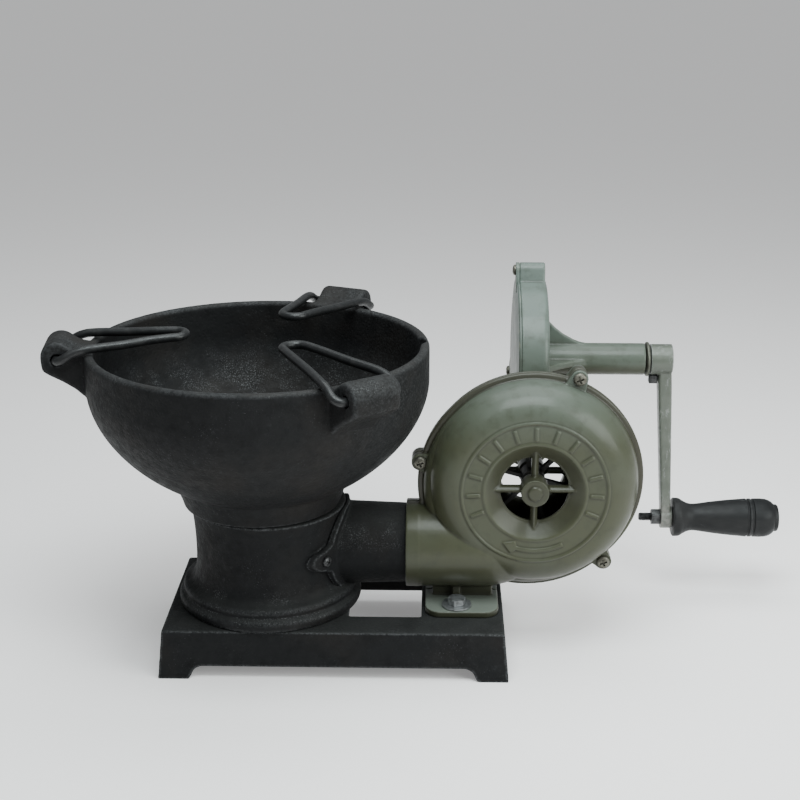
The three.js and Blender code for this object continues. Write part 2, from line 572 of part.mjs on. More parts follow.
function setScrew() {
  const { screwX: x, hubR, headHalf: half } = arm;
  return join(barZ(3, crank.z - 25, crank.z - crank.shaftR - gap, x, crank.y, 12),
    block(x - half, x + half, crank.y - half, crank.y + half, crank.z - hubR - 9, crank.z - hubR - 1));
}

const handleBar = (r, x0, x1, sides = 16) => barX(r, x0, x1, crank.y, crank.handleZ, sides);
const handleBolt = () => join(handleBar(4.9, 421.5, 573), handleBar(8.6, 572, 578));
const handleNut = () => handleBar(9.6, 436, 445.6, 6).subtract(handleBar(5.2, 430, 447));

function handleGrip() {
  const { x0, x1, r, capR, bore, sinkR, sinkX } = grip;
  const profile = [[bore, x0], [r - 1, x0], [r, x0 + 3], [r - 0.6, x0 + 8], [r - 5, x0 + 15],
    [r - 6.6, x0 + 25], [r - 4, x0 + 46], [r - 1, x0 + 80], [r, x0 + 96], [r - 1, x1 - 12], [r - 4.6, x1 - 5],
    [capR, x1 - 4], [capR, x1], [sinkR, x1], [sinkR, sinkX], [bore, sinkX]];
  return turnedX(profile, crank.y, crank.handleZ, 18);
}

// ---------------------------------------------------------------- assembly
const paint = (color, roughness, metalness) => () => (
  new THREE.MeshStandardMaterial({ color, roughness, metalness }));
const castBlack = paint(0x26282a, 0.55, 0.35);
const enamel = paint(0x68705a, 0.35, 0.1);
const zinc = paint(0x8c9094, 0.35, 0.9);
const darkSteel = paint(0x3c3d3f, 0.45, 0.8);
const bronze = paint(0x8f6f3e, 0.4, 0.8);
const plastic = paint(0x1d1e20, 0.5, 0);

const forge = new THREE.Group();

function add(name, body, material) {
  const mesh = new THREE.Mesh(body.isBufferGeometry ? body : geometryOf(body), material());
  mesh.name = name;
  forge.add(mesh);
}

add('base_frame', baseFrame(), castBlack);
add('pedestal', pedestal(), castBlack);
baseBolt.angles.forEach((angle, i) => add(`base_bolt_${i + 1}`, pedestalBolt(angle), darkSteel));
add('fire_bowl', fireBowl(), castBlack);
add('fire_grate', fireGrate(), castBlack);
for (const [name, angle] of Object.entries(lugAngles)) {
  add(`pot_support_${name}`, potSupport(wireTipR[name]).rotate([0, 0, angle]), castBlack);
}
add('air_pipe', airPipe(), castBlack);
add('pipe_screw_front', pipeScrew(-1), darkSteel);
add('pipe_screw_back', pipeScrew(1), darkSteel);

add('casing_front', casingFront(), enamel);
add('casing_rear', casingRear(), enamel);
shellLugs.forEach((angle, i) => add(`casing_screw_${i + 1}`, casingScrew(angle), zinc));
for (const [name, side] of [['front', -1], ['back', 1]]) {
  const bar = (...sizes) => footBoltBar(side, ...sizes);
  add(`foot_bolt_${name}`, join(bar(4.9, 36, 63), bar(9.8, 62.9, 69.5, 6)), zinc);
  add(`foot_washer_${name}`, bar(15.8, foot.top + gap, 62.6, 28).subtract(bar(foot.holeR, 50, 70)), zinc);
  add(`foot_nut_${name}`, bar(9.8, 38.5, 46.7, 6).subtract(bar(5.2, 30, 50)), zinc);
}

add('fan_shaft', fanShaft(), darkSteel);
add('fan_impeller', fanImpeller(), darkSteel);
add('drive_worm', driveWorm(), darkSteel);
add('fan_bush_front', ringY(9.7, fan.shaftR + gap, -45.5, -26), bronze);
add('fan_bush_rear', ringY(9.7, fan.shaftR + gap, 13, 31), bronze);
add('worm_bush_front', ringY(9.1, fan.shaftR + gap, 70, 95), bronze);
add('worm_bush_rear', ringY(9.1, fan.shaftR + gap, 161, 171), bronze);
add('worm_cap', wormCap(), enamel);

add('gear_case', gearCase(), enamel);
add('gear_cover', gearCover(), enamel);
gearboxLugs.forEach((angle, i) => add(`cover_screw_${i + 1}`, coverScrew(angle), zinc));
saddleScrews.forEach((spot, i) => add(`case_screw_${i + 1}`, caseScrew(spot), zinc));

add('worm_wheel', wormWheel(), bronze);
add('wheel_nut', wheelNut(), darkSteel);
add('crank_shaft', barX(crank.shaftR, 274.2, 446, crank.y, crank.z, 20), darkSteel);
add('crank_bush_inner', ringX(12, wheel.bore, 303, 327), bronze);
add('crank_bush_outer', ringX(12, wheel.bore, 394, 418), bronze);
add('collar_ring', ringX(20, wheel.bore, 418.5, 423.8, 24), zinc);
add('crank_arm', crankArm(), zinc);
add('set_screw', setScrew(), darkSteel);
add('handle_bolt', handleBolt(), zinc);
add('handle_nut', handleNut(), zinc);
add('handle_grip', handleGrip(), plastic);

const box = new THREE.Box3().setFromObject(forge);
const centre = box.getCenter(v3(0, 0, 0));
forge.position.set(-centre.x, -centre.y, -box.min.z);

export default forge;
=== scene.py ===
# A hand-cranked forge: black cast-iron fire bowl, pedestal, pipe and base, with an olive blower and crank.
# Lengths in this script are millimetres in the design frame: origin on the floor under the bowl's axis,
# +X towards the crank handle, +Y away from the blower's inlet. world() turns them into the frame's metres.
import json
import math

import bpy
import bmesh
from mathutils import Matrix, Vector

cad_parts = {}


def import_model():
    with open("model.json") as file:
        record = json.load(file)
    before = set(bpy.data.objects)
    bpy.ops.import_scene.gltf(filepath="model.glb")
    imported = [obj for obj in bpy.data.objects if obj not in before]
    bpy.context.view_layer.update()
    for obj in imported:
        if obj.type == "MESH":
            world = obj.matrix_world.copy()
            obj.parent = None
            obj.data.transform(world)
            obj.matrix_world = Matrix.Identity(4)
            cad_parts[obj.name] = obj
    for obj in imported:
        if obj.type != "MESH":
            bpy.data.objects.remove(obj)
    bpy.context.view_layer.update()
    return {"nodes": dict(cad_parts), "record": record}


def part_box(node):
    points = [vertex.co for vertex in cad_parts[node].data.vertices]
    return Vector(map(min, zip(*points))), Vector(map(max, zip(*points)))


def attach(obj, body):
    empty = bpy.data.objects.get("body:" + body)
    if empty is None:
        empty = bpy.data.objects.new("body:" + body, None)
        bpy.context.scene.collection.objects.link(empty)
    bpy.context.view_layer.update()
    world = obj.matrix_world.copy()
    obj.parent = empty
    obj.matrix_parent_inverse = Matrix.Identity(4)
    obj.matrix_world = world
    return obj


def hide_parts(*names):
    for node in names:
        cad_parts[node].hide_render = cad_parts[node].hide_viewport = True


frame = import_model()

MM = 0.001


def middle(node):
    low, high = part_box(node)
    return [(a + b) / 2 for a, b in zip(low, high)]


ORIGIN = Vector((middle("fire_grate")[0], middle("fire_grate")[1], 0))


def design(point):
    """A point of the frame, in metres, as millimetres of the design frame."""
    return [(a - o) / MM for a, o in zip(point, ORIGIN)]


def span(node, axis):
    """Lowest and highest coordinate of a CAD node along an axis, in design millimetres."""
    low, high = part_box(node)
    return design(low)[axis], design(high)[axis]


def world(x, y, z):
    return Vector((x, y, z)) * MM + ORIGIN


# ------------------------------------------------------------------ places, from the frame
FAN_X, _, FAN_Z = design(middle("fan_shaft"))
CRANK_Y, CRANK_Z = design(middle("crank_shaft"))[1:]
HANDLE_Z = design(middle("handle_bolt"))[2]
PLATE_Z = span("base_frame", 2)[1]
SEAT_Z = span("pedestal", 2)[1]
RIM_Z = 339
RIM_R = 178
PIPE_Z = 116
INLET_R = 35.5
RING_R = 111.2
LUG_ANGLES = {"left": 187, "front": -53, "back": 67}
FLOOR = 0.0

# ------------------------------------------------------------------ mesh kit


def linked(name, mesh):
    obj = bpy.data.objects.new(name, mesh)
    bpy.context.scene.collection.objects.link(obj)
    return obj


def solid(name, points, faces):
    """A closed mesh object from design-frame points."""
    bm = bmesh.new()
    verts = [bm.verts.new(world(*p)) for p in points]
    for face in faces:
        bm.faces.new([verts[i] for i in face])
    bmesh.ops.recalc_face_normals(bm, faces=bm.faces)
    mesh = bpy.data.meshes.new(name)
    bm.to_mesh(mesh)
    bm.free()
    return linked(name, mesh)


def axes(axis, a, b, h):
    """A point at height h along axis, with a and b along the other two in X, Y, Z order."""
    return {"X": (h, a, b), "Y": (a, h, b), "Z": (a, b, h)}[axis]


def revolve(profile, axis="Z", at=(0, 0), segs=128):
    """A closed profile of (radius, height) points turned about an axis."""
    points, rings = [], []
    for r, h in profile:
        if r < 1e-6:
            rings.append([len(points)])
            points.append(axes(axis, at[0], at[1], h))
            continue
        rings.append(list(range(len(points), len(points) + segs)))
        for i in range(segs):
            turn = 2 * math.pi * i / segs
            points.append(axes(axis, at[0] + r * math.cos(turn), at[1] + r * math.sin(turn), h))
    faces = []
    for ring, following in zip(rings, rings[1:] + rings[:1]):
        for i in range(segs):
            j = (i + 1) % segs
            quad = [ring[i % len(ring)], ring[j % len(ring)],
                    following[j % len(following)], following[i % len(following)]]
            quad = list(dict.fromkeys(quad))
            if len(quad) > 2:
                faces.append(quad)
    return solid("turned", points, faces)


def bar(axis, r, start, end, at, segs=64, r_end=None):
    r_end = r if r_end is None else r_end
    return revolve([(0, start), (r, start), (r_end, end), (0, end)], axis, at, segs)


def block(x0, x1, y0, y1, z0, z1, flare=0):
    """A box whose foot is wider than its top by flare on every side."""
    points = [(x + (flare if x == x1 else -flare) * (z == z0),
               y + (flare if y == y1 else -flare) * (z == z0), z)
              for x in (x0, x1) for y in (y0, y1) for z in (z0, z1)]
    faces = [(0, 1, 3, 2), (4, 5, 7, 6), (0, 1, 5, 4), (2, 3, 7, 6), (0, 2, 6, 4), (1, 3, 7, 5)]
    return solid("block", points, faces)


def plate(axis, outline, start, end):
    """An outline pushed along an axis from start to end."""
    n = len(outline)
    points = [axes(axis, a, b, h) for h in (start, end) for a, b in outline]
    sides = [(i, (i + 1) % n, n + (i + 1) % n, n + i) for i in range(n)]
    return solid("plate", points, [tuple(range(n)), tuple(range(n, 2 * n))] + sides)


def arc(cx, cy, rx, ry, start, end, steps):
    """Points on part of a circle or an ellipse, from one angle in degrees to another."""
    turns = [math.radians(start + (end - start) * i / steps) for i in range(steps + 1)]
    return [(cx + rx * math.cos(t), cy + ry * math.sin(t)) for t in turns]


def tab(cx, cy, r, x, y, pad):
    """The outline of a round pad at (x, y) with straight sides back to a circle about (cx, cy)."""
    away = math.degrees(math.atan2(y - cy, x - cx))
    return arc(cx, cy, r, r, away + 90, away + 270, 16) + arc(x, y, pad, pad, away - 90, away + 90, 24)


def smooth_path(points, steps):
    """Catmull-Rom points through the given ones."""
    pts = [Vector(p) for p in points]
    pts = [2 * pts[0] - pts[1]] + pts + [2 * pts[-1] - pts[-2]]
    out = []
    for a, b, c, d in zip(pts, pts[1:], pts[2:], pts[3:]):
        for i in range(steps):
            t = i / steps
            out.append(0.5 * (2 * b + (c - a) * t + (2 * a - 5 * b + 4 * c - d) * t ** 2
                              + (3 * b - 3 * c + d - a) * t ** 3))
    return out + [pts[-2]]


def tube(points, radius, sides):
    """A round rod along a path, with domed ends."""
    pts = [Vector(p) for p in points]
    tangents = [(b - a).normalized() for a, b in zip(pts, pts[1:])]
    tangents.append(tangents[-1])
    normal = tangents[0].orthogonal().normalized()
    rings = []
    for p, t in zip(pts, tangents):
        normal = (normal - t * normal.dot(t)).normalized()
        rings.append((p, normal, t.cross(normal), radius))
    domes = arc(0, 0, radius, radius, 18, 72, 3)
    p, n, s = rings[0][:3]
    rings = [(p - tangents[0] * up, n, s, r) for r, up in reversed(domes)] + rings
    p, n, s = rings[-1][:3]
    rings += [(p + tangents[-1] * up, n, s, r) for r, up in domes]
    turns = [2 * math.pi * k / sides for k in range(sides)]
    verts = [p + (n * math.cos(turn) + s * math.sin(turn)) * r for p, n, s, r in rings for turn in turns]
    faces = [(start + k, start + (k + 1) % sides, start + sides + (k + 1) % sides, start + sides + k)
             for start in range(0, len(verts) - sides, sides) for k in range(sides)]
    faces += [tuple(range(sides)), tuple(range(len(verts) - sides, len(verts)))]
    return solid("tube", verts, faces)


def rotate(obj, degrees, axis, about=(0, 0, 0)):
    """Turns a mesh in place about an axis through a design-frame point."""
    centre = world(*about)
    turn = Matrix.Rotation(math.radians(degrees), 4, axis)
    obj.data.transform(Matrix.Translation(centre) @ turn @ Matrix.Translation(-centre))
    return obj


def moved(obj, x=0, y=0, z=0):
    obj.data.transform(Matrix.Translation(Vector((x, y, z)) * MM))
    return obj


def applied(obj):
    """Makes the modifiers part of the mesh."""
    graph = bpy.context.evaluated_depsgraph_get()
    mesh = bpy.data.meshes.new_from_object(obj.evaluated_get(graph))
    obj.modifiers.clear()
    obj.data = mesh
    return obj


def carved(first, *steps):
    """Joins and cuts solids: each step is ("+", solid) or ("-", solid)."""
    for sign, other in steps:
        change = first.modifiers.new("change", "BOOLEAN")
        change.object = other
        change.operation = "UNION" if sign == "+" else "DIFFERENCE"
        change.solver = "MANIFOLD"
    applied(first)
    for _, other in steps:
        bpy.data.objects.remove(other)
    return first


def cast_skin(obj, voxel, rounds=5):
    """Softens every edge and inner corner as a sand casting has them."""
    skin = obj.modifiers.new("skin", "REMESH")
    skin.mode = "VOXEL"
    skin.voxel_size = voxel * MM
    soft = obj.modifiers.new("soft", "SMOOTH")
    soft.factor = 0.5
    soft.iterations = rounds
    return applied(obj)


def bevelled(obj, width, segments=3, angle=30):
    bevel = obj.modifiers.new("bevel", "BEVEL")
    bevel.width = width * MM
    bevel.segments = segments
    bevel.angle_limit = math.radians(angle)
    return applied(obj)


def merged(first, *others):
    """Several meshes as one object."""
    bm = bmesh.new()
    for obj in (first, *others):
        bm.from_mesh(obj.data)
    bm.to_mesh(first.data)
    bm.free()
    for obj in others:
        bpy.data.objects.remove(obj)
    return first


def shaded(obj, sharp=None):
    obj.data.polygons.foreach_set("use_smooth", [True] * len(obj.data.polygons))
    if sharp:
        obj.data.set_sharp_from_angle(angle=math.radians(sharp))
    obj.data.update()
    return obj


def piece(name, obj, material, nodes, body="forge", sharp=None):
    """Names a finished piece, gives it its material and lets it stand for its CAD nodes."""
    obj.name = name
    obj.data.name = name
    obj.data.materials.clear()
    obj.data.materials.append(material)
    shaded(obj, sharp)
    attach(obj, body)
    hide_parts(*nodes)
    return obj


# ------------------------------------------------------------------ materials


class Surface:
    """A principled material with helpers that keep the node code short."""

    def __init__(self, name, color, roughness, metallic=0.0, coat=0.0, coat_roughness=0.15,
                 specular=0.5):
        self.material = bpy.data.materials.new(name)
        self.material.use_nodes = True
        self.nodes = self.material.node_tree.nodes
        self.links = self.material.node_tree.links
        self.shader = self.nodes["Principled BSDF"]
        self.place = self.nodes.new("ShaderNodeTexCoord").outputs["Object"]
        self.shader.inputs["Base Color"].default_value = (*color, 1)
        self.shader.inputs["Roughness"].default_value = roughness
        self.shader.inputs["Metallic"].default_value = metallic
        self.shader.inputs["Coat Weight"].default_value = coat
        self.shader.inputs["Coat Roughness"].default_value = coat_roughness
        self.shader.inputs["Specular IOR Level"].default_value = specular

    def noise(self, size, detail=4.0, rough=0.55, stretch=(1, 1, 1)):
        """Noise whose blotches are about size millimetres across."""
        scaled = self.nodes.new("ShaderNodeMapping")
        scaled.inputs["Scale"].default_value = stretch
        self.links.new(self.place, scaled.inputs["Vector"])
        texture = self.nodes.new("ShaderNodeTexNoise")
        texture.inputs["Scale"].default_value = 1 / (size * MM)
        texture.inputs["Detail"].default_value = detail
        texture.inputs["Roughness"].default_value = rough
        self.links.new(scaled.outputs[0], texture.inputs["Vector"])
        return texture.outputs["Fac"]

    def pits(self, size):
        texture = self.nodes.new("ShaderNodeTexVoronoi")
        texture.inputs["Scale"].default_value = 1 / (size * MM)
        self.links.new(self.place, texture.inputs["Vector"])
        return texture.outputs["Distance"]

    def edges(self, low, high):
        """1 on raised edges and 0 elsewhere; with low above high, 1 in hollows."""
        point = self.nodes.new("ShaderNodeNewGeometry").outputs["Pointiness"]
        return self.ramp(point, low, high)

    def up(self, low, high):
        """1 where the surface faces up and 0 where it faces down."""
        split = self.nodes.new("ShaderNodeSeparateXYZ")
        self.links.new(self.nodes.new("ShaderNodeNewGeometry").outputs["Normal"], split.inputs[0])
        return self.ramp(split.outputs["Z"], low, high)

    def along(self, axis, start, end):
        """0 at start and 1 at end, two places along an axis of the design frame."""
        split = self.nodes.new("ShaderNodeSeparateXYZ")
        self.links.new(self.place, split.inputs[0])
        low, high = (world(at, at, at)["XYZ".index(axis)] for at in (start, end))
        return self.ramp(split.outputs[axis], low, high)

    def fan_radius(self):
        """Distance from the fan's axis, in metres."""
        flat = self.nodes.new("ShaderNodeMapping")
        flat.inputs["Scale"].default_value = (1, 0, 1)
        centre = world(FAN_X, 0, FAN_Z)
        flat.inputs["Location"].default_value = (-centre.x, 0, -centre.z)
        self.links.new(self.place, flat.inputs["Vector"])
        length = self.nodes.new("ShaderNodeVectorMath")
        length.operation = "LENGTH"
        self.links.new(flat.outputs[0], length.inputs[0])
        return length.outputs["Value"]

    def ramp(self, value, low, high, to_low=0.0, to_high=1.0):
        node = self.nodes.new("ShaderNodeMapRange")
        node.inputs["From Min"].default_value = low
        node.inputs["From Max"].default_value = high
        node.inputs["To Min"].default_value = to_low
        node.inputs["To Max"].default_value = to_high
        self.links.new(value, node.inputs["Value"])
        return node.outputs["Result"]

    def times(self, a, b):
        node = self.nodes.new("ShaderNodeMath")
        node.operation = "MULTIPLY"
        self.links.new(a, node.inputs[0])
        self.links.new(b, node.inputs[1])
        return node.outputs[0]

    def mixed(self, mask, name, value, data_type):
        """Mixes value into what feeds one of the shader's inputs, where mask is 1."""
        socket = self.shader.inputs[name]
        mix = self.nodes.new("ShaderNodeMix")
        mix.data_type = data_type
        self.links.new(mask, mix.inputs["Factor"])
        if socket.is_linked:
            self.links.new(socket.links[0].from_socket, mix.inputs["A"])
        else:
            mix.inputs["A"].default_value = socket.default_value
        mix.inputs["B"].default_value = value
        self.links.new(mix.outputs["Result"], socket)
        return self

    def tint(self, mask, color):
        return self.mixed(mask, "Base Color", (*color, 1), "RGBA")

    def roughen(self, mask, value):
        return self.mixed(mask, "Roughness", value, "FLOAT")

    def relief(self, height, depth):
        """Bump from a height of 0 to 1 that stands for depth millimetres."""
        bump = self.nodes.new("ShaderNodeBump")
        bump.inputs["Strength"].default_value = 1
        bump.inputs["Distance"].default_value = depth * MM
        self.links.new(height, bump.inputs["Height"])
        socket = self.shader.inputs["Normal"]
        if socket.is_linked:
            self.links.new(socket.links[0].from_socket, bump.inputs["Normal"])
        self.links.new(bump.outputs["Normal"], socket)
        return self


def cast_iron(name, color, worn_color, roughness):
    """Brushed-on black paint over sand-cast iron: grain, pits, brown stains, dust and worn edges."""
    s = Surface(name, color, roughness, specular=0.13)
    s.tint(s.ramp(s.noise(75, 3), 0.46, 0.66, 0, 0.7), (color[0] * 1.7, color[1] * 1.45, color[2] * 1.25))
    s.tint(s.ramp(s.noise(20, 5), 0.54, 0.70, 0, 0.6), tuple(c * 0.45 for c in color))
    scuffs = s.times(s.ramp(s.noise(7, 7, 0.8), 0.55, 0.70),
                     s.ramp(s.noise(48, 3), 0.45, 0.62, 0.05, 0.75))
    s.tint(scuffs, tuple(c * 3.2 for c in color))
    specks = s.times(s.ramp(s.noise(1.5, 4, 0.7), 0.63, 0.70),
                     s.ramp(s.noise(42, 3), 0.48, 0.64, 0.05, 0.9))
    s.tint(specks, (0.085, 0.087, 0.09))
    dust = s.times(s.ramp(s.noise(1.2, 3, 0.6), 0.55, 0.63), s.ramp(s.noise(24, 4), 0.44, 0.58))
    s.tint(s.times(dust, s.up(0.12, 0.6)), (0.088, 0.090, 0.092))
    s.tint(s.times(s.edges(0.508, 0.535), s.ramp(s.noise(2.6, 6, 0.8), 0.44, 0.58)), worn_color)
    s.roughen(s.ramp(s.noise(9, 5, 0.7), 0.38, 0.68), roughness + 0.2)
    s.relief(s.noise(30, 3), 0.9)
    s.relief(s.noise(4.0, 6, 0.65), 0.42)
    s.relief(s.ramp(s.pits(4.6), 0.05, 0.4), 0.22)
    return s


def black_iron():
    s = cast_iron("black_iron", (0.0062, 0.0064, 0.0068), (0.06, 0.062, 0.064), 0.58)
    # Paler tone on up-facing surfaces: dust, and painted top light for the light that falls on them.
    dust_and_top_light = s.times(s.ramp(s.noise(50, 4), 0.3, 0.6, 0.45, 1), s.up(0.35, 0.95))
    return s.tint(dust_and_top_light, (0.021, 0.0215, 0.021)).material


def bowl_iron():
    s = cast_iron("bowl_iron", (0.0066, 0.0067, 0.0070), (0.042, 0.043, 0.045), 0.56)
    rim = s.times(s.along("Z", RIM_Z - 4, RIM_Z - 1), s.ramp(s.noise(3.4, 7, 0.8), 0.44, 0.60, 0, 0.7))
    s.tint(rim, (0.028, 0.029, 0.030))
    soot = s.ramp(s.noise(60, 4), 0.40, 0.66, 0, 0.8)
    s.tint(s.times(soot, s.up(0.25, 0.8)), (0.017, 0.0155, 0.0145))
    right = s.ramp(s.noise(2.2, 6, 0.75), 0.50, 0.62, 0, 0.8)
    s.tint(s.times(right, s.along("X", 70, 165)), (0.034, 0.035, 0.035))
    return s.material


def support_wire():
    s = Surface("support_wire", (0.0085, 0.0088, 0.0092), 0.34, 0.1, specular=0.34)
    s.tint(s.ramp(s.noise(9, 4), 0.5, 0.7, 0, 0.7), (0.018, 0.0175, 0.0175))
    s.tint(s.ramp(s.noise(1.6, 5, 0.7), 0.62, 0.70, 0, 0.5), (0.06, 0.06, 0.063))
    s.roughen(s.ramp(s.noise(5, 4), 0.4, 0.7), 0.52)
    s.relief(s.noise(3.2, 4), 0.16)
    return s.material


def green_enamel():
    """Olive enamel on a casting: painted highlight over its upper parts, painted light on the foot pad's
    top, painted shade in the inlet's recess, towards the bottom and in corners (with some grime there), a
    darker band round the flange, wear on edges.
    """
    s = Surface("green_enamel", (0.044, 0.046, 0.027), 0.34, coat=0.10, coat_roughness=0.16, specular=0.2)
    s.tint(s.ramp(s.noise(65, 3), 0.42, 0.68, 0, 0.7), (0.050, 0.055, 0.037))
    # Painted highlight: a paler, cooler colour on all but down-facing surfaces of the upper casing and gear
    # case.
    s.tint(s.times(s.along("Z", FAN_Z + 45, FAN_Z + 165), s.up(-0.5, -0.05)), (0.096, 0.120, 0.106))
    s.tint(s.ramp(s.noise(13, 6), 0.50, 0.74, 0, 0.5), (0.030, 0.032, 0.020))
    # Painted shade: darker in the recess round the inlet.
    inlet = s.ramp(s.fan_radius(), (INLET_R + 17) * MM, (INLET_R + 12) * MM, 0, 0.45)
    s.tint(s.times(inlet, s.along("Y", -18, -20)), (0.022, 0.021, 0.014))
    # A darker band round the flange where the two halves meet.
    flange = s.ramp(s.fan_radius(), (RING_R - 0.8) * MM, (RING_R + 0.6) * MM, 0, 0.85)
    lip = s.times(s.along("Y", 11, 9), s.along("Y", -8, -6.5))
    s.tint(s.times(s.times(flange, lip), s.along("Z", PIPE_Z + 30, PIPE_Z + 42)), (0.034, 0.031, 0.022))
    # Painted shade: darker towards the bottom of the casing.
    underside = s.along("Z", PIPE_Z + 5, PLATE_Z + 26)
    s.tint(underside, (0.029, 0.030, 0.019))
    # Painted light: paler on the foot pad's upward face.
    foot_pad_light = s.times(s.up(0.8, 0.97), s.along("Z", PLATE_Z + 14, PLATE_Z + 10))
    s.tint(foot_pad_light, (0.12, 0.135, 0.115))
    # Painted shade in corners and hollows, with some grime there too.
    s.tint(s.edges(0.498, 0.45), (0.015, 0.014, 0.009))
    worn = s.times(s.edges(0.53, 0.60), s.ramp(s.noise(4, 5, 0.75), 0.38, 0.58, 0.15, 1))
    s.tint(worn, (0.15, 0.16, 0.125))
    s.roughen(s.ramp(s.noise(15, 5), 0.4, 0.72), 0.44)
    s.relief(s.noise(38, 2), 0.9)
    s.relief(s.noise(3.2, 4), 0.10)
    return s.material


def plated(name, color, roughness, stain):
    s = Surface(name, color, roughness, 0.85)
    s.tint(s.ramp(s.noise(4, 5, 0.65), 0.46, 0.66, 0, 0.85), stain)
    # Painted shade in hollows such as the cross recess.
    s.tint(s.edges(0.49, 0.42), tuple(c * 0.25 for c in color))
    s.roughen(s.ramp(s.noise(2.5, 5), 0.4, 0.7), min(1, roughness + 0.25))
    s.relief(s.noise(1.3, 4), 0.07)
    return s.material


def crank_steel():
    """Grey-green paint worn to bright steel along the edges and over the lower end."""
    s = Surface("crank_steel", (0.076, 0.086, 0.068), 0.36, 0.15, coat=0.15)
    s.tint(s.ramp(s.noise(18, 5), 0.46, 0.7, 0, 0.7), (0.050, 0.056, 0.043))
    bare = s.ramp(s.noise(7, 6, 0.8, (1, 1, 0.35)), 0.55, 0.66, 0, 0.8)
    s.tint(bare, (0.21, 0.22, 0.21))
    s.tint(s.times(s.edges(0.515, 0.57), s.ramp(s.noise(2.4, 6, 0.8), 0.36, 0.56)), (0.36, 0.37, 0.37))
    low = s.along("Z", HANDLE_Z + 30, HANDLE_Z + 12)
    s.tint(s.times(low, s.ramp(s.noise(5, 5, 0.7), 0.40, 0.58, 0.2, 0.8)), (0.17, 0.165, 0.15))
    s.roughen(s.ramp(s.noise(6, 5), 0.4, 0.7), 0.55)
    s.relief(s.noise(3.4, 5, 0.65), 0.30)
    return s.material


def grip_black():
    s = Surface("grip_black", (0.0095, 0.0098, 0.0102), 0.42, specular=0.15)
    s.tint(s.ramp(s.noise(34, 4, 0.6, (0.25, 1, 1)), 0.46, 0.68, 0, 0.8), (0.020, 0.0195, 0.0195))
    scuffs = s.times(s.ramp(s.noise(5, 7, 0.8, (0.4, 1, 1)), 0.56, 0.70), s.ramp(s.noise(30), 0.45, 0.6))
    s.tint(scuffs, (0.040, 0.040, 0.041))
    s.tint(s.times(s.edges(0.53, 0.60), s.ramp(s.noise(2.4, 6, 0.8), 0.42, 0.60)), (0.060, 0.060, 0.061))
    s.roughen(s.ramp(s.noise(9, 4), 0.4, 0.7), 0.56)
    s.relief(s.noise(3.0, 5), 0.14)
    return s.material


def dark_paint():
    s = Surface("fan_paint", (0.012, 0.0125, 0.012), 0.5, specular=0.3)
    s.tint(s.ramp(s.noise(12, 4), 0.45, 0.7, 0, 0.7), (0.028, 0.026, 0.022))
    s.relief(s.noise(3, 4), 0.12)
    return s.material


MATERIALS = {
    "black_iron": black_iron(),
    "bowl_iron": bowl_iron(),
    "support_wire": support_wire(),
    "green_enamel": green_enamel(),
    "screw_zinc": plated("screw_zinc", (0.135, 0.130, 0.108), 0.40, (0.055, 0.050, 0.038)),
    "bolt_zinc": plated("bolt_zinc", (0.30, 0.31, 0.315), 0.32, (0.15, 0.15, 0.15)),
    "collar_steel": plated("collar_steel", (0.105, 0.108, 0.088), 0.42, (0.045, 0.043, 0.034)),
    "crank_steel": crank_steel(),
    "black_screw": plated("black_screw", (0.068, 0.068, 0.069), 0.40, (0.022, 0.022, 0.023)),
    "bronze": plated("bronze", (0.42, 0.29, 0.13), 0.34, (0.20, 0.13, 0.06)),
    "shaft_steel": plated("shaft_steel", (0.34, 0.34, 0.35), 0.30, (0.20, 0.20, 0.20)),
    "fan_paint": dark_paint(),
    "grip_black": grip_black(),
}


def add(name, obj, slot, nodes=None, body="forge", sharp=None, look=None):
    return piece(name, obj, MATERIALS[look or slot], nodes or [name], body, sharp)


# ------------------------------------------------------------------ bowl, lugs, grate and supports
BOWL = {"belt": 300, "depth": 134, "power": 1.8, "wall": 10, "boss_r": 88.5, "boss_z": 187, "hole_r": 58}
GRATE = {"r": 66, "z": 178}
PIVOT_R, PIVOT_Z, LUG_HALF = 203, 333, 27
WIRE_TIP_R = {"left": 74, "front": 62, "back": 68}


def bowl_curve(rim, depth, r, steps):
    """The bowl's curve below its belt, from the belt in to radius r."""
    share = 2 / BOWL["power"]
    end = math.acos((r / rim) ** (1 / share))
    turns = [end * i / steps for i in range(steps + 1)]
    return [(rim * math.cos(t) ** share, BOWL["belt"] - depth * math.sin(t) ** share) for t in turns]


def bowl_profile():
    inner_r, inner_depth = RIM_R - BOWL["wall"], BOWL["depth"] - BOWL["wall"]
    boss_r, low = BOWL["boss_r"], SEAT_Z + 0.3
    return ([(boss_r - 4.9, low), (boss_r - 4.6, low + 0.6), (boss_r - 4.2, low + 3), (boss_r - 2, low + 10),
             (boss_r + 0.8, low + 17), (boss_r + 2.2, BOWL["boss_z"])]
            + bowl_curve(RIM_R, BOWL["depth"], boss_r + 3, 40)[::-1]
            + arc(RIM_R - 4.5, RIM_Z - 4.5, 4.5, 4.5, 0, 90, 6)
            + arc(inner_r + 4.5, RIM_Z - 4.5, 4.5, 4.5, 90, 180, 6)
            + bowl_curve(inner_r, inner_depth, GRATE["r"], 36)
            + [(GRATE["r"], GRATE["z"]), (BOWL["hole_r"], GRATE["z"]), (BOWL["hole_r"], low)])


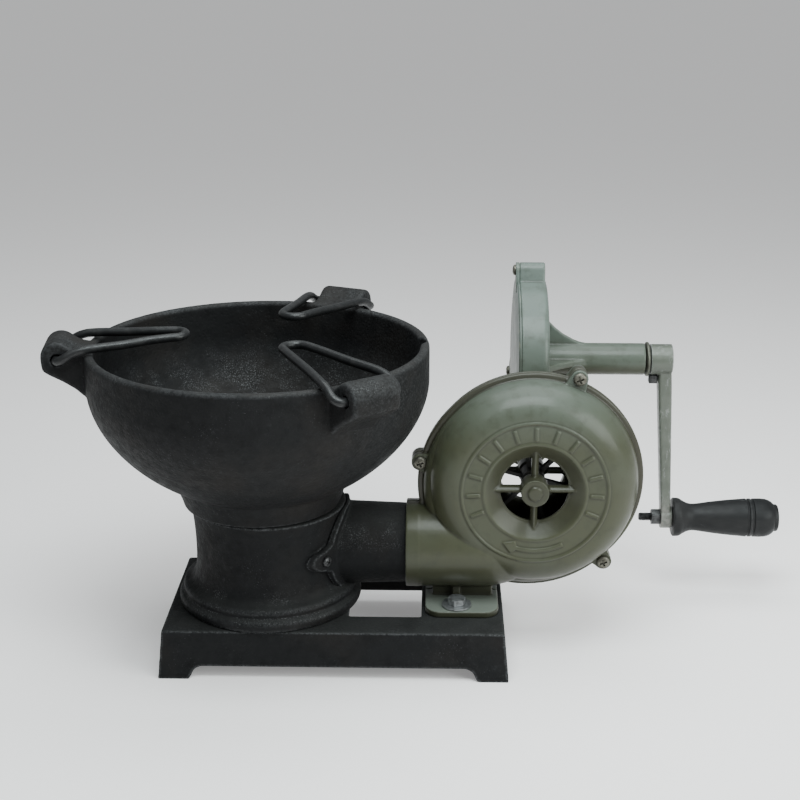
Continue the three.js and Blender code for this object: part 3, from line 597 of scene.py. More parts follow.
def bowl_lug(angle):
    """A lumpy cast lug with a blind hole in each end, along the rim's tangent."""
    top = arc(PIVOT_R, PIVOT_Z, 17, 18.7, 10, 118, 14)
    side = [(168, 289), (178, 293), (186, 301), (198, 309), (212, 316.5), (218.6, 321)]
    body = cast_skin(plate("Y", side + top + [(184, 341.5), (168, 338)], -LUG_HALF, LUG_HALF), 1.6, 26)
    for end in (-1, 1):
        hole = bar("Y", 6, *sorted((end * (LUG_HALF - 13), end * (LUG_HALF + 3))), (PIVOT_R, PIVOT_Z), 32)
        carved(body, ("-", hole))
    return rotate(body, angle, "Z")


def fire_bowl():
    lugs = [("+", bowl_lug(angle)) for angle in LUG_ANGLES.values()]
    notch = rotate(bar("Z", 15, 308, RIM_Z + 5, (160, 0), 48), 5, "Z")
    return cast_skin(carved(revolve(bowl_profile(), segs=192), *lugs, ("-", notch)), 1.5, 6)


def fire_grate():
    steps = []
    for column in (-2, -1, 0, 1, 2):
        x = column * 19
        reach = math.sqrt(54 ** 2 - x ** 2) - 4.5
        outline = arc(x, reach, 4.5, 4.5, 0, 180, 10) + arc(x, -reach, 4.5, 4.5, 180, 360, 10)
        steps.append(("-", plate("Z", outline, 170, 195)))
    return cast_skin(carved(bar("Z", 65.4, GRATE["z"] + 0.3, GRATE["z"] + 6, (0, 0), 96), *steps), 1.0, 4)


def pot_support(angle, tip_r):
    """A bent rod: two strands from the lug's ends that meet in a round tip."""
    half = [
        (PIVOT_R, 16, PIVOT_Z), (PIVOT_R, 26, PIVOT_Z), (PIVOT_R - 1.5, 32, PIVOT_Z + 0.6),
        (PIVOT_R - 8, 35, PIVOT_Z + 3.6), (PIVOT_R - 19, 34.2, PIVOT_Z + 9.5),
        (PIVOT_R - 34, 32, PIVOT_Z + 12.3), (135, 24.5, 347), (tip_r + 36, 18, 349),
        (tip_r + 15, 14, 350), (tip_r + 6, 11.4, 350), (tip_r + 1.2, 6, 350),
    ]
    path = half + [(tip_r, 0, 350)] + [(x, -y, z) for x, y, z in reversed(half)]
    return rotate(tube(smooth_path(path, 8), 4.5, 28), angle, "Z")


add("fire_bowl", fire_bowl(), "bowl_iron")
add("fire_grate", fire_grate(), "bowl_iron")
for where, angle in LUG_ANGLES.items():
    name = f"pot_support_{where}"
    add(name, pot_support(angle, WIRE_TIP_R[where]), "support_wire", body=f"support_{where}")

# ------------------------------------------------------------------ pedestal, pipe and base
COLUMN_X, WAIST_R, BORE_R = 6, 78.6, 70
PAD, FLANGE = 3, 6
EAR_Y, EAR_Z, EAR_R = 58, 118, 11
FLANGE_R = WAIST_R + PAD + FLANGE


def column_outer(grow=0):
    foot = [(97, PLATE_Z + 0.3), (98.4, PLATE_Z + 3)] + arc(93.5, 60.6, 5.2, 6.2, 0, 75, 6)
    bead = [(92.2, 67.3)] + arc(88.6, 72.4, 5.4, 5.4, -50, 80, 8)
    waist = [(86.6, 79.0), (83.6, 81.4), (81.2, 85.4), (79.8, 91), (79, 98),
             (WAIST_R, 105), (WAIST_R, 120)]
    flare = [(79, 131), (79.7, 142), (80.7, 152), (82, 159.5), (83.5, SEAT_Z)]
    return [(r + grow, z) for r, z in foot + bead + waist + flare]


def flange_face(grow, start, end):
    disc = bar("X", 52 + grow, start, end, (0, PIPE_Z), 96)
    ears = [tab(0, PIPE_Z, 44, side * EAR_Y, EAR_Z, EAR_R + grow) for side in (1, -1)]
    return carved(disc, *[("+", plate("X", ear, start, end)) for ear in ears])


def column_bar(radius, start=67, end=SEAT_Z - 1):
    return bar("Z", radius, start, end, (COLUMN_X, 0), 160)


def wrapped(face, radius):
    """What of a face lies inside a cylinder about the pedestal's axis."""
    keep = face.modifiers.new("keep", "BOOLEAN")
    keep.operation = "INTERSECT"
    keep.solver = "MANIFOLD"
    cutter = keep.object = column_bar(radius)
    applied(face)
    bpy.data.objects.remove(cutter)
    return face


def screw_hole(side, radius, reach=30):
    turn = math.degrees(math.asin(side * EAR_Y / FLANGE_R))
    hole = bar("X", radius, FLANGE_R - reach, FLANGE_R + 20, (0, EAR_Z), 32)
    return moved(rotate(hole, turn, "Z"), COLUMN_X)


def pedestal():
    inner = [(BORE_R, SEAT_Z), (BORE_R, PLATE_Z + 0.3)]
    body = revolve(column_outer() + inner, at=(COLUMN_X, 0), segs=160)
    pad = carved(wrapped(flange_face(-2, 20, 120), WAIST_R + PAD), ("-", column_bar(BORE_R + 3, 60, 170)))
    steps = [("+", pad), ("-", bar("X", 40, 20, 130, (0, PIPE_Z), 64))]
    steps += [("-", screw_hole(side, 3.3)) for side in (1, -1)]
    return cast_skin(carved(body, *steps), 1.3, 5)


def air_pipe():
    end = span("air_pipe", 0)[1]
    tube_body = bar("X", 46.5, 40, end, (0, PIPE_Z), 128, 41.8)
    flange = wrapped(flange_face(0, 20, 120), FLANGE_R)
    wall = revolve([(0, PLATE_Z - 5)] + column_outer(0.3) + [(0, SEAT_Z)], at=(COLUMN_X, 0), segs=160)
    bore = bar("X", 42, 30, end + 5, (0, PIPE_Z), 96, 37.3)
    steps = [("+", flange), ("-", wall), ("-", column_bar(WAIST_R + PAD + 0.3, 60, 170)), ("-", bore)]
    steps += [("-", screw_hole(side, 3.5)) for side in (1, -1)]
    return cast_skin(carved(tube_body, *steps), 1.15, 3)


BASE = {"x0": -99, "x1": 258, "half_y": 93, "plate": 6.5, "wall": 6.5, "flare": 5, "skirt": 14, "leg": 25}
BASE_BOLTS = {"angles": (45, 135, 225, 315), "circle_r": 84, "hole_r": 5.3}
HATCH = {"x0": 94, "x1": 171, "half_y": 53.5}
FOOT_BOLT = design(middle("foot_bolt_back"))[:2]
FOOT_BOLT_R, FOOT_HOLE_R = 4.9, 5.4


def arch(a, b):
    """The cut-out under a skirt between two feet, with round inner corners."""
    top = BASE["skirt"]
    return ([(a, -2), (a + 4, 2)] + arc(a + 17, top - 12, 12, 12, 170, 90, 8)
            + arc(b - 17, top - 12, 12, 12, 90, 10, 8)
            + [(b - 4, 2), (b, -2)])


def base_frame():
    x0, x1, y, wall, flare = BASE["x0"], BASE["x1"], BASE["half_y"], BASE["wall"], BASE["flare"]
    leg = BASE["leg"]
    outer = block(x0, x1, -y, y, 0, PLATE_Z, flare)
    inner = block(x0 + wall, x1 - wall, -y + wall, y - wall, -1, PLATE_Z - BASE["plate"], flare)
    hatch = block(HATCH["x0"], HATCH["x1"], -HATCH["half_y"], HATCH["half_y"], -5, PLATE_Z + 5)
    steps = [("-", inner), ("-", plate("Y", arch(x0 + leg, x1 - leg), -y - 20, y + 20)),
             ("-", plate("X", arch(-y + leg, y - leg), x0 - 20, x1 + 20)), ("-", hatch)]
    for side in (1, -1):
        steps.append(("-", bar("Z", FOOT_HOLE_R, 40, 60, (FOOT_BOLT[0], side * FOOT_BOLT[1]), 32)))
    for angle in BASE_BOLTS["angles"]:
        hole = bar("Z", BASE_BOLTS["hole_r"], 40, 60, (COLUMN_X + BASE_BOLTS["circle_r"], 0), 32)
        steps.append(("-", rotate(hole, angle, "Z", (COLUMN_X, 0, 0))))
    return cast_skin(carved(outer, *steps), 1.5, 5)


add("pedestal", pedestal(), "black_iron")
add("air_pipe", air_pipe(), "black_iron")
add("base_frame", base_frame(), "black_iron")

# ------------------------------------------------------------------ blower casings
SHELL = {"r": 117, "lip": 5.6, "dome_r": 110.9, "wall": 4.2}
FRONT = {"face_r": 75.4, "depth": 46.6}
REAR = {"face_r": 80, "depth": 33.8}
INLET = {"cone_r": 53, "r": INLET_R, "deep": 11.5, "hub_r": 14.6, "spoke": 3.4}
NECK = {"r": 47, "x0": 154, "bend_x": 230.5, "reach": 75, "band": 14}
SCROLL = {"x": 283, "z": 186.5, "r": 117, "edge_r": 110.9, "face_r": 84, "depth": 30}
CASING_LUGS = [68, 171, -50]
LUG_AT, LUG_R = 121, 9
FOOT = {"x0": 175, "x1": 253, "half_y": 57, "top": 60.3}


def around(angle, radius):
    """The X and Z of a point round the fan's axis."""
    return FAN_X + radius * math.cos(math.radians(angle)), FAN_Z + radius * math.sin(math.radians(angle))


def casing_outer(half, side):
    r, lip, dome_r = SHELL["r"], SHELL["lip"], SHELL["dome_r"]
    face_r, depth = half["face_r"], half["depth"]
    line = [(face_r + 2.2, depth - 0.2), (face_r + 1.6, depth + 1.1), (face_r - 0.2, depth + 1.1),
            (face_r - 1, depth - 0.2)]
    ring = [(INLET["cone_r"] + 1.6, depth - 0.2), (INLET["cone_r"] + 1.0, depth + 0.9),
            (INLET["cone_r"] - 0.6, depth + 0.7)]
    dome = arc(face_r + 2, lip + 2, dome_r - face_r - 2, depth - lip - 2, 0, 84, 20)
    return [(a, side * h) for a, h in [(0, -2), (r, -2), (r, lip - 1.5), (r - 1.2, lip),
                                       (dome_r + 0.8, lip + 0.3)]
            + dome + line + ring + [(INLET["r"] + 2, depth - INLET["deep"]), (0, depth - INLET["deep"])]]


def casing_inner(half, side):
    wall, lip = SHELL["wall"], SHELL["lip"]
    r, face_r, depth = SHELL["dome_r"] - wall, half["face_r"], half["depth"]
    return [(a, side * h) for a, h in [(0, -8), (r, -8), (r, lip + 2)]
            + arc(face_r, lip + 2, r - face_r, depth - wall - lip - 2, 8, 90, 12)
            + [(INLET["cone_r"] + 2.5, depth - wall), (INLET["r"] + 3, depth - INLET["deep"] - wall),
               (0, depth - INLET["deep"] - wall)]]


def casing_ear(angle, side):
    """The lug on one casing half for one of the screws between the halves."""
    start, end = (-10, 2) if side < 0 else (-2, 14)
    return plate("Y", tab(FAN_X, FAN_Z, 40, *around(angle, LUG_AT), LUG_R), start, end)


def casing_holes(side):
    """The holes for the foot bolts and for the casing screws."""
    start, end = (-20, 4) if side < 0 else (-2, 11)
    foot = [bar("Z", FOOT_HOLE_R, 40, 75, (FOOT_BOLT[0], y * FOOT_BOLT[1]), 32) for y in (1, -1)]
    lugs = [bar("Y", 3.4, start, end, around(angle, LUG_AT), 24) for angle in CASING_LUGS]
    return [("-", hole) for hole in foot + lugs]


def inlet_hub(side, out):
    """The spokes and the hub across an inlet, with the fan shaft's bore."""
    centre = (FAN_X, FAN_Z)
    steps = [("+", spoke(out, side, upright)) for upright in (False, True)]
    hub = sorted((side * (out - 10), side * (out + (13.8 if side < 0 else 9))))
    steps.append(("+", bar("Y", INLET["hub_r"], *hub, centre, 64)))
    if side < 0:
        steps += [("+", bar("Y", 7, -51, -47, centre, 48)), ("-", bar("Y", 10, -46, -10, centre, 48))]
    else:
        steps.append(("-", bar("Y", 10, 5, 60, centre, 48)))
    return steps


def casing_half(half, side, extras):
    """Dome, neck, lugs and foot of one casing half, hollowed out, with the hub across its inlet."""
    centre = (FAN_X, FAN_Z)
    steps = [("+", scroll_half(side)), ("+", neck_round(NECK["r"], NECK["x0"])),
             ("+", bar("X", NECK["r"] + 0.3, NECK["x0"], NECK["x0"] + NECK["band"], (0, PIPE_Z), 128))]
    steps += [("+", casing_ear(angle, side)) for angle in CASING_LUGS]
    steps += [("+", solid_foot(side)), *extras,
              ("-", revolve(casing_inner(half, side), "Y", centre)),
              ("-", neck_round(NECK["r"] - 4, NECK["x0"] - 2)),
              ("-", bar("Y", INLET["r"], -80, 80, centre, 96))]
    other_half = (0, 80) if side < 0 else (-80, 0.3)
    steps += inlet_hub(side, half["depth"] - INLET["deep"])
    steps.append(("-", block(100, 430, *other_half, 40, 340)))
    steps += casing_holes(side)
    return carved(revolve(casing_outer(half, side), "Y", centre, 160), *steps)


def neck_round(r, start):
    """The neck's cylinder with a long rounded end that dies away inside the scroll."""
    x, reach = NECK["bend_x"], NECK["reach"] + r - NECK["r"]
    end = arc(0, x, r, reach, 0, 84, 14)
    return revolve([(0, start), (r, start)] + end + [(0, x + reach)], "X", (0, PIPE_Z), 128)


def scroll_half(side):
    """A shallower round set down and left of the fan's, which carries the outline into the neck."""
    lip = SHELL["lip"]
    r, edge_r, face_r, depth = (SCROLL[key] for key in ("r", "edge_r", "face_r", "depth"))
    profile = [(0, -2), (r, -2), (r, lip - 1.5), (r - 1.2, lip), (edge_r + 0.8, lip + 0.3)]
    profile += arc(face_r, lip + 2, edge_r - face_r, depth - lip - 2, 0, 88, 14) + [(0, depth)]
    return revolve([(a, side * h) for a, h in profile], "Y", (SCROLL["x"], SCROLL["z"]), 160)


def spoke(out, side, upright):
    """A bar right across the inlet with a ridge along its outer face."""
    reach, w = INLET["r"] + 10, INLET["spoke"]
    ridge = [(side * (out - 4), -w - 0.6), (side * (out + 1.5), -w), (side * (out + 5), 0),
             (side * (out + 1.5), w), (side * (out - 4), w + 0.6)]
    if upright:
        return plate("Z", [(FAN_X + across, deep) for deep, across in ridge], FAN_Z - reach, FAN_Z + reach)
    return plate("X", [(deep, FAN_Z + across) for deep, across in ridge], FAN_X - reach, FAN_X + reach)


def solid_foot(side):
    """The pad on the base with its web and gussets up to the neck; side picks the half."""
    bottom = PLATE_Z + 0.3
    x0, x1, y1, top = FOOT["x0"], FOOT["x1"], FOOT["half_y"], FOOT["top"]
    corner = 17
    nose = arc(x1 - corner, side * (y1 - corner), corner, corner, 0, side * 90, 10)
    nose += arc(x0 + corner, side * (y1 - corner), corner, corner, side * 90, side * 180, 10)
    pad = plate("Z", [(x1, side * -2)] + nose + [(x0, side * -2)], bottom, top)
    web = block(x0 + 8, x1 - 6, *sorted((side * -2, side * 14)), bottom, 86)
    cross = plate("X", [(side * -2, 86), (side * -2, bottom), (side * 23, bottom), (side * 23, top + 7),
                        (side * 15, 86)], FOOT_BOLT[0] - 4, FOOT_BOLT[0] + 4)
    return carved(pad, ("+", web), ("+", cross))


def raised_marks():
    """Plain cast ribs round the upper face, and a turning arrow below."""
    face = FRONT["depth"]
    marks = []
    for k in range(13):
        angle = 202 - k * 224 / 12
        rib = block(FAN_X - 1.4, FAN_X + 1.4, -face - 1.3, -face + 1, FAN_Z + 57.5, FAN_Z + 71)
        marks.append(("+", rotate(rib, 90 - angle, "Y", (FAN_X, 0, FAN_Z))))
    band = [(FAN_X + r * math.cos(math.radians(a)), FAN_Z + r * math.sin(math.radians(a)))
            for r, a in [(66.2, 252 + i * 3) for i in range(16)]
            + [(62.8, 297 - i * 3) for i in range(16)]]
    marks.append(("+", plate("Y", band, -face - 1.3, -face + 1)))
    head = [around(250, 64.5 + 6.5), around(240, 64.5), around(250, 64.5 - 6.5)]
    head += [around(253, 64.5 - 2), around(253, 64.5 + 2)]
    marks.append(("+", plate("Y", head, -face - 1.3, -face + 1)))
    return marks


def casing_front():
    return cast_skin(casing_half(FRONT, -1, raised_marks()), 0.95, 3)


def casing_rear():
    pad = ("+", block(259, 321, 14, REAR["depth"] + 0.2, 247, 292))
    return cast_skin(casing_half(REAR, 1, [pad]), 1.3, 4)


add("casing_front", casing_front(), "green_enamel")
add("casing_rear", casing_rear(), "green_enamel")

# ------------------------------------------------------------------ gear case
CASE = {"x0": 276, "x1": 306, "r": 91, "cavity": 84, "lug_at": 101.5, "lug_r": 8.5, "lugs": [90, -25, 220]}
SLEEVE = {"r": 17.8, "bore": 12.3}
WEB = [(-1, 0), (-1, 50), (4, 43.5), (12, 35.5), (21, 28.5), (32, 22.3), (40, 19.2), (47, 17.4), (47, 0)]
WORM_HOUSE = {"r": 25, "y0": 96, "y1": 172}
CASE_SCREWS = [(267, 254), (313, 254), (267, 285), (313, 285)]


def case_lug_at(angle):
    reach = CASE["lug_at"]
    return CRANK_Y + reach * math.cos(math.radians(angle)), CRANK_Z + reach * math.sin(math.radians(angle))


def case_lug(angle, x0, x1):
    y, z = case_lug_at(angle)
    lug = plate("X", tab(CRANK_Y, CRANK_Z, 30, y, z, CASE["lug_r"]), x0, x1)
    return carved(lug, ("-", bar("X", 80, x0 - 1, x1 + 1, (CRANK_Y, CRANK_Z), 64)))


def gear_case():
    x0, x1, r = CASE["x0"], CASE["x1"], CASE["r"]
    at, worm_at = (CRANK_Y, CRANK_Z), (FAN_X, FAN_Z)
    back = REAR["depth"] + 0.5
    end = span("crank_bush_outer", 0)[1]
    profile = [(0, x0), (r, x0)] + arc(r - 6, x1 - 6, 6, 6, 0, 90, 6) + [(0, x1 + 1.5)]
    body = revolve(profile, "X", at, 160)
    steps = [("+", bar("Y", WORM_HOUSE["r"], WORM_HOUSE["y0"], WORM_HOUSE["y1"], worm_at, 96)),
             ("+", bar("Y", 13.5, 43.5, 98, worm_at, 64)),
             ("+", block(259, 321, back, 41, 248, 292)), ("+", block(276, 304, back, 62, 252, 290))]
    steps += [("+", case_lug(angle, x0, x1 - 2)) for angle in CASE["lugs"]]
    steps += [("-", bar("X", CASE["cavity"], x0 - 1, x1 - 4, at, 128)),
              ("+", bar("X", SLEEVE["r"], x1 - 4, end, at, 96))]
    for quarter in range(4):
        web = plate("Y", [(x1 + along, CRANK_Z + out) for along, out in WEB], CRANK_Y - 3.5, CRANK_Y + 3.5)
        steps.append(("+", rotate(web, 90 * quarter, "X", (0, CRANK_Y, CRANK_Z))))
    steps += [("-", bar("X", SLEEVE["bore"], x1 - 6, end + 2, at, 64)),
              ("-", bar("Y", 20.5, 99, 176, worm_at, 64)), ("-", bar("Y", 9.4, 40, 110, worm_at, 48))]
    steps += [("-", bar("X", 3.3, x0 - 1, x0 + 18, case_lug_at(angle), 24)) for angle in CASE["lugs"]]
    steps += [("-", bar("Y", 3.5, 30, 60, spot, 24)) for spot in CASE_SCREWS]
    return cast_skin(carved(body, *steps), 1.15, 4)


def gear_cover():
    x0, r = CASE["x0"], CASE["r"]
    face = [(0, x0 - 6), (42, x0 - 5.6), (66, x0 - 4.8), (76, x0 - 4.2), (80, x0 - 3.3),
            (r - 2, x0 - 3), (r, x0 - 1.6), (r, x0 - 0.3), (83.4, x0 - 0.3), (83.4, x0 + 2),
            (80, x0 + 2), (77, x0 - 1.2), (42, x0 - 2.6), (0, x0 - 2.8)]
    body = revolve(face, "X", (CRANK_Y, CRANK_Z), 160)
    steps = [("+", case_lug(angle, x0 - 4, x0 - 0.3)) for angle in CASE["lugs"]]
    steps += [("-", bar("Y", 25.6, 60, 190, (FAN_X, FAN_Z), 96)),
              ("-", block(250, 330, 30, 41.5, 247, 293))]
    steps += [("-", bar("X", 3.4, x0 - 10, x0 + 1, case_lug_at(angle), 24)) for angle in CASE["lugs"]]
    return bevelled(carved(body, *steps), 0.5, 2)


add("gear_case", gear_case(), "green_enamel")
add("gear_cover", gear_cover(), "green_enamel", sharp=30)

# ------------------------------------------------------------------ screws and bolts


def pan_screw(head_r, head_h, shank_r, length, cross=True):
    """A cross-recess pan-head screw along +Z at the origin, with the underside of its head at 0."""
    dome = [(0, head_h)] + arc(0, 0.35 * head_h, head_r, 0.65 * head_h, 75, 0, 5)
    profile = dome + [(head_r, 0.2), (head_r - 0.3, 0), (shank_r, 0), (shank_r, 1 - length),
                      (shank_r - 0.8, -length), (0, -length)]
    screw = revolve(profile, "Z", (0, 0), 48)
    if not cross:
        return screw
    w, reach = head_r * 0.13, head_r * 0.56
    arms = [("-", block(-reach, reach, -w, w, head_h * 0.30, head_h + 2)),
            ("-", block(-w, w, -reach, reach, head_h * 0.30, head_h + 2))]
    return rotate(carved(screw, *arms), 20, "Z")


def placed(obj, point, direction):
    """Moves a mesh made along +Z at the design origin to a point, with its +Z along direction."""
    turn = Vector((0, 0, 1)).rotation_difference(Vector(direction)).to_matrix().to_4x4()
    obj.data.transform(Matrix.Translation(world(*point)) @ turn @ Matrix.Translation(-world(0, 0, 0)))
    return obj


for i, angle in enumerate(CASING_LUGS):
    x, z = around(angle, LUG_AT)
    screw = bevelled(pan_screw(7, 4.4, 3, 20), 0.25, 2, 40)
    add(f"casing_screw_{i + 1}", placed(screw, (x, -10.2, z), (0, -1, 0)), "screw_zinc", sharp=35)

for i, angle in enumerate(CASE["lugs"]):
    y, z = case_lug_at(angle)
    screw = bevelled(pan_screw(5.8, 3.6, 3, 18), 0.25, 2, 40)
    add(f"cover_screw_{i + 1}", placed(screw, (CASE["x0"] - 4.2, y, z), (-1, 0, 0)), "screw_zinc", sharp=35)

for side, name in ((-1, "front"), (1, "back")):
    out = Vector((math.sqrt(FLANGE_R ** 2 - EAR_Y ** 2), side * EAR_Y, 0)).normalized()
    spot = (COLUMN_X + out.x * (FLANGE_R + 0.2), out.y * (FLANGE_R + 0.2), EAR_Z)
    screw = bevelled(pan_screw(5.5, 3.8, 3, 14), 0.25, 2, 40)
    add(f"pipe_screw_{name}", placed(screw, spot, out), "black_screw", sharp=35)


def hex_head(r, bottom, top, chamfer=1.2, turn=15):
    """A hexagon along Z with the round chamfer of a bolt head on its top."""
    head = plate("Z", arc(0, 0, r, r, turn, turn + 300, 5), bottom, top)
    cone = revolve([(0, bottom - 1), (r + 3, bottom - 1), (r + 3, top - chamfer * 1.8),
                    (r - chamfer, top + 0.001), (r - chamfer, top + 0.5), (0, top + 0.5)], segs=64)
    keep = head.modifiers.new("chamfer", "BOOLEAN")
    keep.operation, keep.solver, keep.object = "INTERSECT", "MANIFOLD", cone
    applied(head)
    bpy.data.objects.remove(cone)
    return head


def thread(r, start, end, pitch=1.5, segs=48):
    """A threaded rod along Z: rings that rise and fall with a right-hand helix."""
    steps = int((end - start) / pitch * 8)
    points, faces = [], []
    for i in range(steps + 1):
        z = start + (end - start) * i / steps
        fade = min(1, (z - start) / 1.5, (end - z) / 1.5)
        for k in range(segs):
            turn = 2 * math.pi * k / segs
            wave = abs(((z / pitch - k / segs) % 1) * 2 - 1)
            radius = (r - 0.9 + 0.9 * wave) - (1 - max(0, fade)) * 0.9
            points.append((radius * math.cos(turn), radius * math.sin(turn), z))
    for i in range(steps):
        for k in range(segs):
            j = (k + 1) % segs
            faces.append((i * segs + k, i * segs + j, (i + 1) * segs + j, (i + 1) * segs + k))
    faces += [tuple(range(segs)), tuple(range(steps * segs, (steps + 1) * segs))]
    return solid("thread", points, faces)


def washer(r, bore, bottom, top):
    return bevelled(revolve([(bore, bottom), (r, bottom), (r, top), (bore, top)], segs=64), 0.35, 2)


for side, name in ((-1, "front"), (1, "back")):
    at = (FOOT_BOLT[0], side * FOOT_BOLT[1], 0)
    head = bevelled(hex_head(9.8, 62.9, 69.5), 0.3, 2, 25)
    bolt = merged(head, thread(FOOT_BOLT_R, 36, 63.2))
    add(f"foot_bolt_{name}", placed(bolt, at, (0, 0, 1)), "bolt_zinc", sharp=35)
    ring = placed(washer(15.8, FOOT_HOLE_R, 60.6, 62.6), at, (0, 0, 1))
    add(f"foot_washer_{name}", ring, "bolt_zinc", sharp=35)
    nut = carved(hex_head(9.8, 38.5, 46.7), ("-", bar("Z", 5.2, 30, 50, (0, 0), 48)))
    add(f"foot_nut_{name}", placed(bevelled(nut, 0.3, 2, 25), at, (0, 0, 1)), "bolt_zinc", sharp=35)

# ------------------------------------------------------------------ crank and handle
ARM = {"hub_r": 17, "hub": (424.6, 449), "boss_r": 13, "boss": (446, 459), "screw_x": 429,
       "screw_half": 4.7}
NUT, BOLT_END, HEAD = (436, 445.6), 421.5, (572, 578)


def crank_arm():
    y, z = CRANK_Y, CRANK_Z
    hub = bar("X", ARM["hub_r"], *ARM["hub"], (y, z), 96)
    boss = bar("X", ARM["boss_r"], *ARM["boss"], (y, HANDLE_Z), 64)
    edge = [(434, z), (434, z - 20), (434.8, z - 34), (446.2, HANDLE_Z),
            (457.4, HANDLE_Z), (450.4, z - 34), (449, z - 12), (449, z)]
    arm = cast_skin(plate("Y", edge, y - 9.5, y + 9.5), 1.0, 30)
    steps = [("+", boss), ("+", arm), ("-", bar("X", 8.3, 400, 470, (y, z), 48)),
             ("-", bar("X", 5.3, 400, 470, (y, HANDLE_Z), 32)),
             ("-", bar("Z", 3.4, z - 40, z, (ARM["screw_x"], y), 24))]
    return cast_skin(carved(hub, *steps), 0.8, 7)


def collar_ring():
    """A split spring collar, drawn as a plain, even ring of round section."""
    section = [(8.4, 419.2)] + arc(17.4, 421.2, 2, 2, -90, 90, 10) + [(8.4, 423.2)]
    return revolve(section, "X", (CRANK_Y, CRANK_Z), 96)


def grip():
    x0, x1 = span("handle_grip", 0)
    r, cap_r, sink_r, sink_x = 22.4, 15.6, 9.4, 571
    outline = smooth_path([(x, y, 0) for x, y in [
        (x0 + 2.4, r), (x0 + 7.5, r - 0.5), (x0 + 12, r - 3.2), (x0 + 18, r - 6.0), (x0 + 26, r - 6.7),
        (x0 + 46, r - 4.0), (x0 + 64, r - 2.0), (x0 + 83, r - 0.4)]], 6)
    body = [(p.y, p.x) for p in outline]
    for groove in (x0 + 86, x0 + 91.5):
        body += [(r - 0.3, groove - 1.5), (r - 1.4, groove - 0.6), (r - 1.4, groove + 0.6),
                 (r - 0.2, groove + 1.5)]
    body += [(r, x1 - 20), (r - 0.5, x1 - 14), (r - 1.7, x1 - 10), (r - 3.6, x1 - 6.8),
             (cap_r + 1.2, x1 - 4.7), (cap_r, x1 - 4.2), (cap_r, x1 - 0.9), (cap_r - 0.8, x1)]
    rest = [(sink_r + 0.5, x1), (sink_r, x1 - 0.6), (sink_r, sink_x), (5.4, sink_x), (5.4, x0),
            (r - 1, x0), (r, x0 + 1)]
    return revolve(body + rest, "X", (CRANK_Y, HANDLE_Z), 128)


def set_screw():
    """A square-headed screw up into the hub, clear of the shaft."""
    x, half, low = ARM["screw_x"], ARM["screw_half"], CRANK_Z - ARM["hub_r"]
    square = block(x - half, x + half, CRANK_Y - half, CRANK_Y + half, low - 10.5, low - 1)
    shank = bar("Z", 3, low - 1.5, CRANK_Z - 8.4, (x, CRANK_Y), 24)
    return merged(bevelled(square, 0.9, 3), shank)


def along_x(obj, x, y, z):
    return placed(obj, (x, y, z), (1, 0, 0))


add("crank_arm", crank_arm(), "crank_steel", body="crank")
add("collar_ring", collar_ring(), "bolt_zinc", body="crank", sharp=50, look="collar_steel")
bolt = merged(thread(4.9, BOLT_END, 460), bar("Z", 4.9, 459.9, HEAD[0] + 0.4, (0, 0), 48),
              bevelled(bar("Z", 8.6, *HEAD, (0, 0), 48), 0.8, 3))
add("handle_bolt", along_x(bolt, 0, CRANK_Y, HANDLE_Z), "bolt_zinc", body="crank", sharp=35,
    look="black_screw")
nut = carved(hex_head(9.6, *NUT, turn=0), ("-", bar("Z", 5.2, 400, 460, (0, 0), 48)))
nut = along_x(bevelled(nut, 0.3, 2, 25), 0, CRANK_Y, HANDLE_Z)
add("handle_nut", nut, "bolt_zinc", body="crank", sharp=35, look="black_screw")
add("handle_grip", grip(), "grip_black", body="grip", sharp=50)
add("set_screw", set_screw(), "black_screw", body="crank", sharp=35)

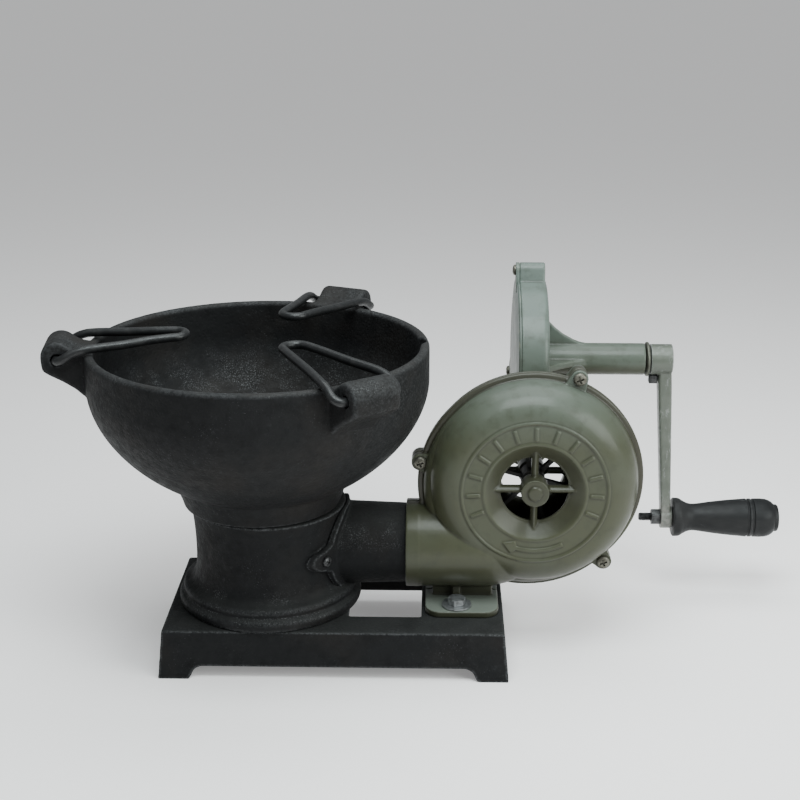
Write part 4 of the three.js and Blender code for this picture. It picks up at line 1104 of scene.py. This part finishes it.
# ------------------------------------------------------------------ CAD nodes that stay
SLOT_OF = {row["node"]: row["material_slot"] for row in frame["record"]["subparts"]}
for name, obj in frame["nodes"].items():
    obj.data.materials.clear()
    obj.data.materials.append(MATERIALS[SLOT_OF[name]])
    soft = obj.modifiers.new("edge", "BEVEL")
    soft.width = 0.4 * MM
    soft.segments = 2
    soft.angle_limit = math.radians(40)

# ------------------------------------------------------------------ floor, light and camera


def studio():
    white = Surface("floor", (0.90, 0.87, 0.865), 0.8)
    white.tint(white.ramp(white.noise(900, 2), 0.4, 0.7, 0, 0.3), (0.87, 0.845, 0.84))
    white.shader.inputs["Emission Color"].default_value = (1, 1, 1, 1)
    white.shader.inputs["Emission Strength"].default_value = 0.22
    bpy.ops.mesh.primitive_plane_add(size=80, location=(0, 0, FLOOR))
    floor = bpy.context.object
    floor.name = "floor"
    floor.data.materials.append(white.material)
    background = bpy.data.worlds.new("studio")
    background.use_nodes = True
    background.node_tree.nodes["Background"].inputs["Color"].default_value = (0.94, 0.985, 1.0, 1)
    background.node_tree.nodes["Background"].inputs["Strength"].default_value = 0.38
    bpy.context.scene.world = background


def softbox(name, place, aim, size, power, color=(1, 1, 1)):
    light = bpy.data.lights.new(name, "AREA")
    light.shape = "RECTANGLE"
    light.size, light.size_y = size
    light.energy = power
    light.color = color
    obj = bpy.data.objects.new(name, light)
    obj.location = world(*place)
    obj.rotation_euler = (world(*aim) - obj.location).to_track_quat("-Z", "Y").to_euler()
    bpy.context.scene.collection.objects.link(obj)


def camera():
    tilt_down, turn_left = 18.2, 1.4
    cam = bpy.data.cameras.new("camera")
    cam.lens = 66.32
    cam.sensor_width = 36
    obj = bpy.data.objects.new("camera", cam)
    obj.location = world(183.0, -1465.6, 759.1)
    obj.rotation_euler = (math.radians(90 - tilt_down), 0, math.radians(turn_left))
    bpy.context.scene.collection.objects.link(obj)
    bpy.context.scene.camera = obj


studio()
softbox("key", (190, -560, 1500), (210, 0, 200), (1.0, 0.7), 28, (0.90, 0.99, 1))
softbox("fill", (1400, -800, 850), (250, 0, 180), (1.1, 0.9), 24, (0.94, 1, 0.98))
softbox("top", (250, 300, 1500), (200, 0, 200), (1.5, 0.8), 15, (0.93, 0.99, 1))
camera()
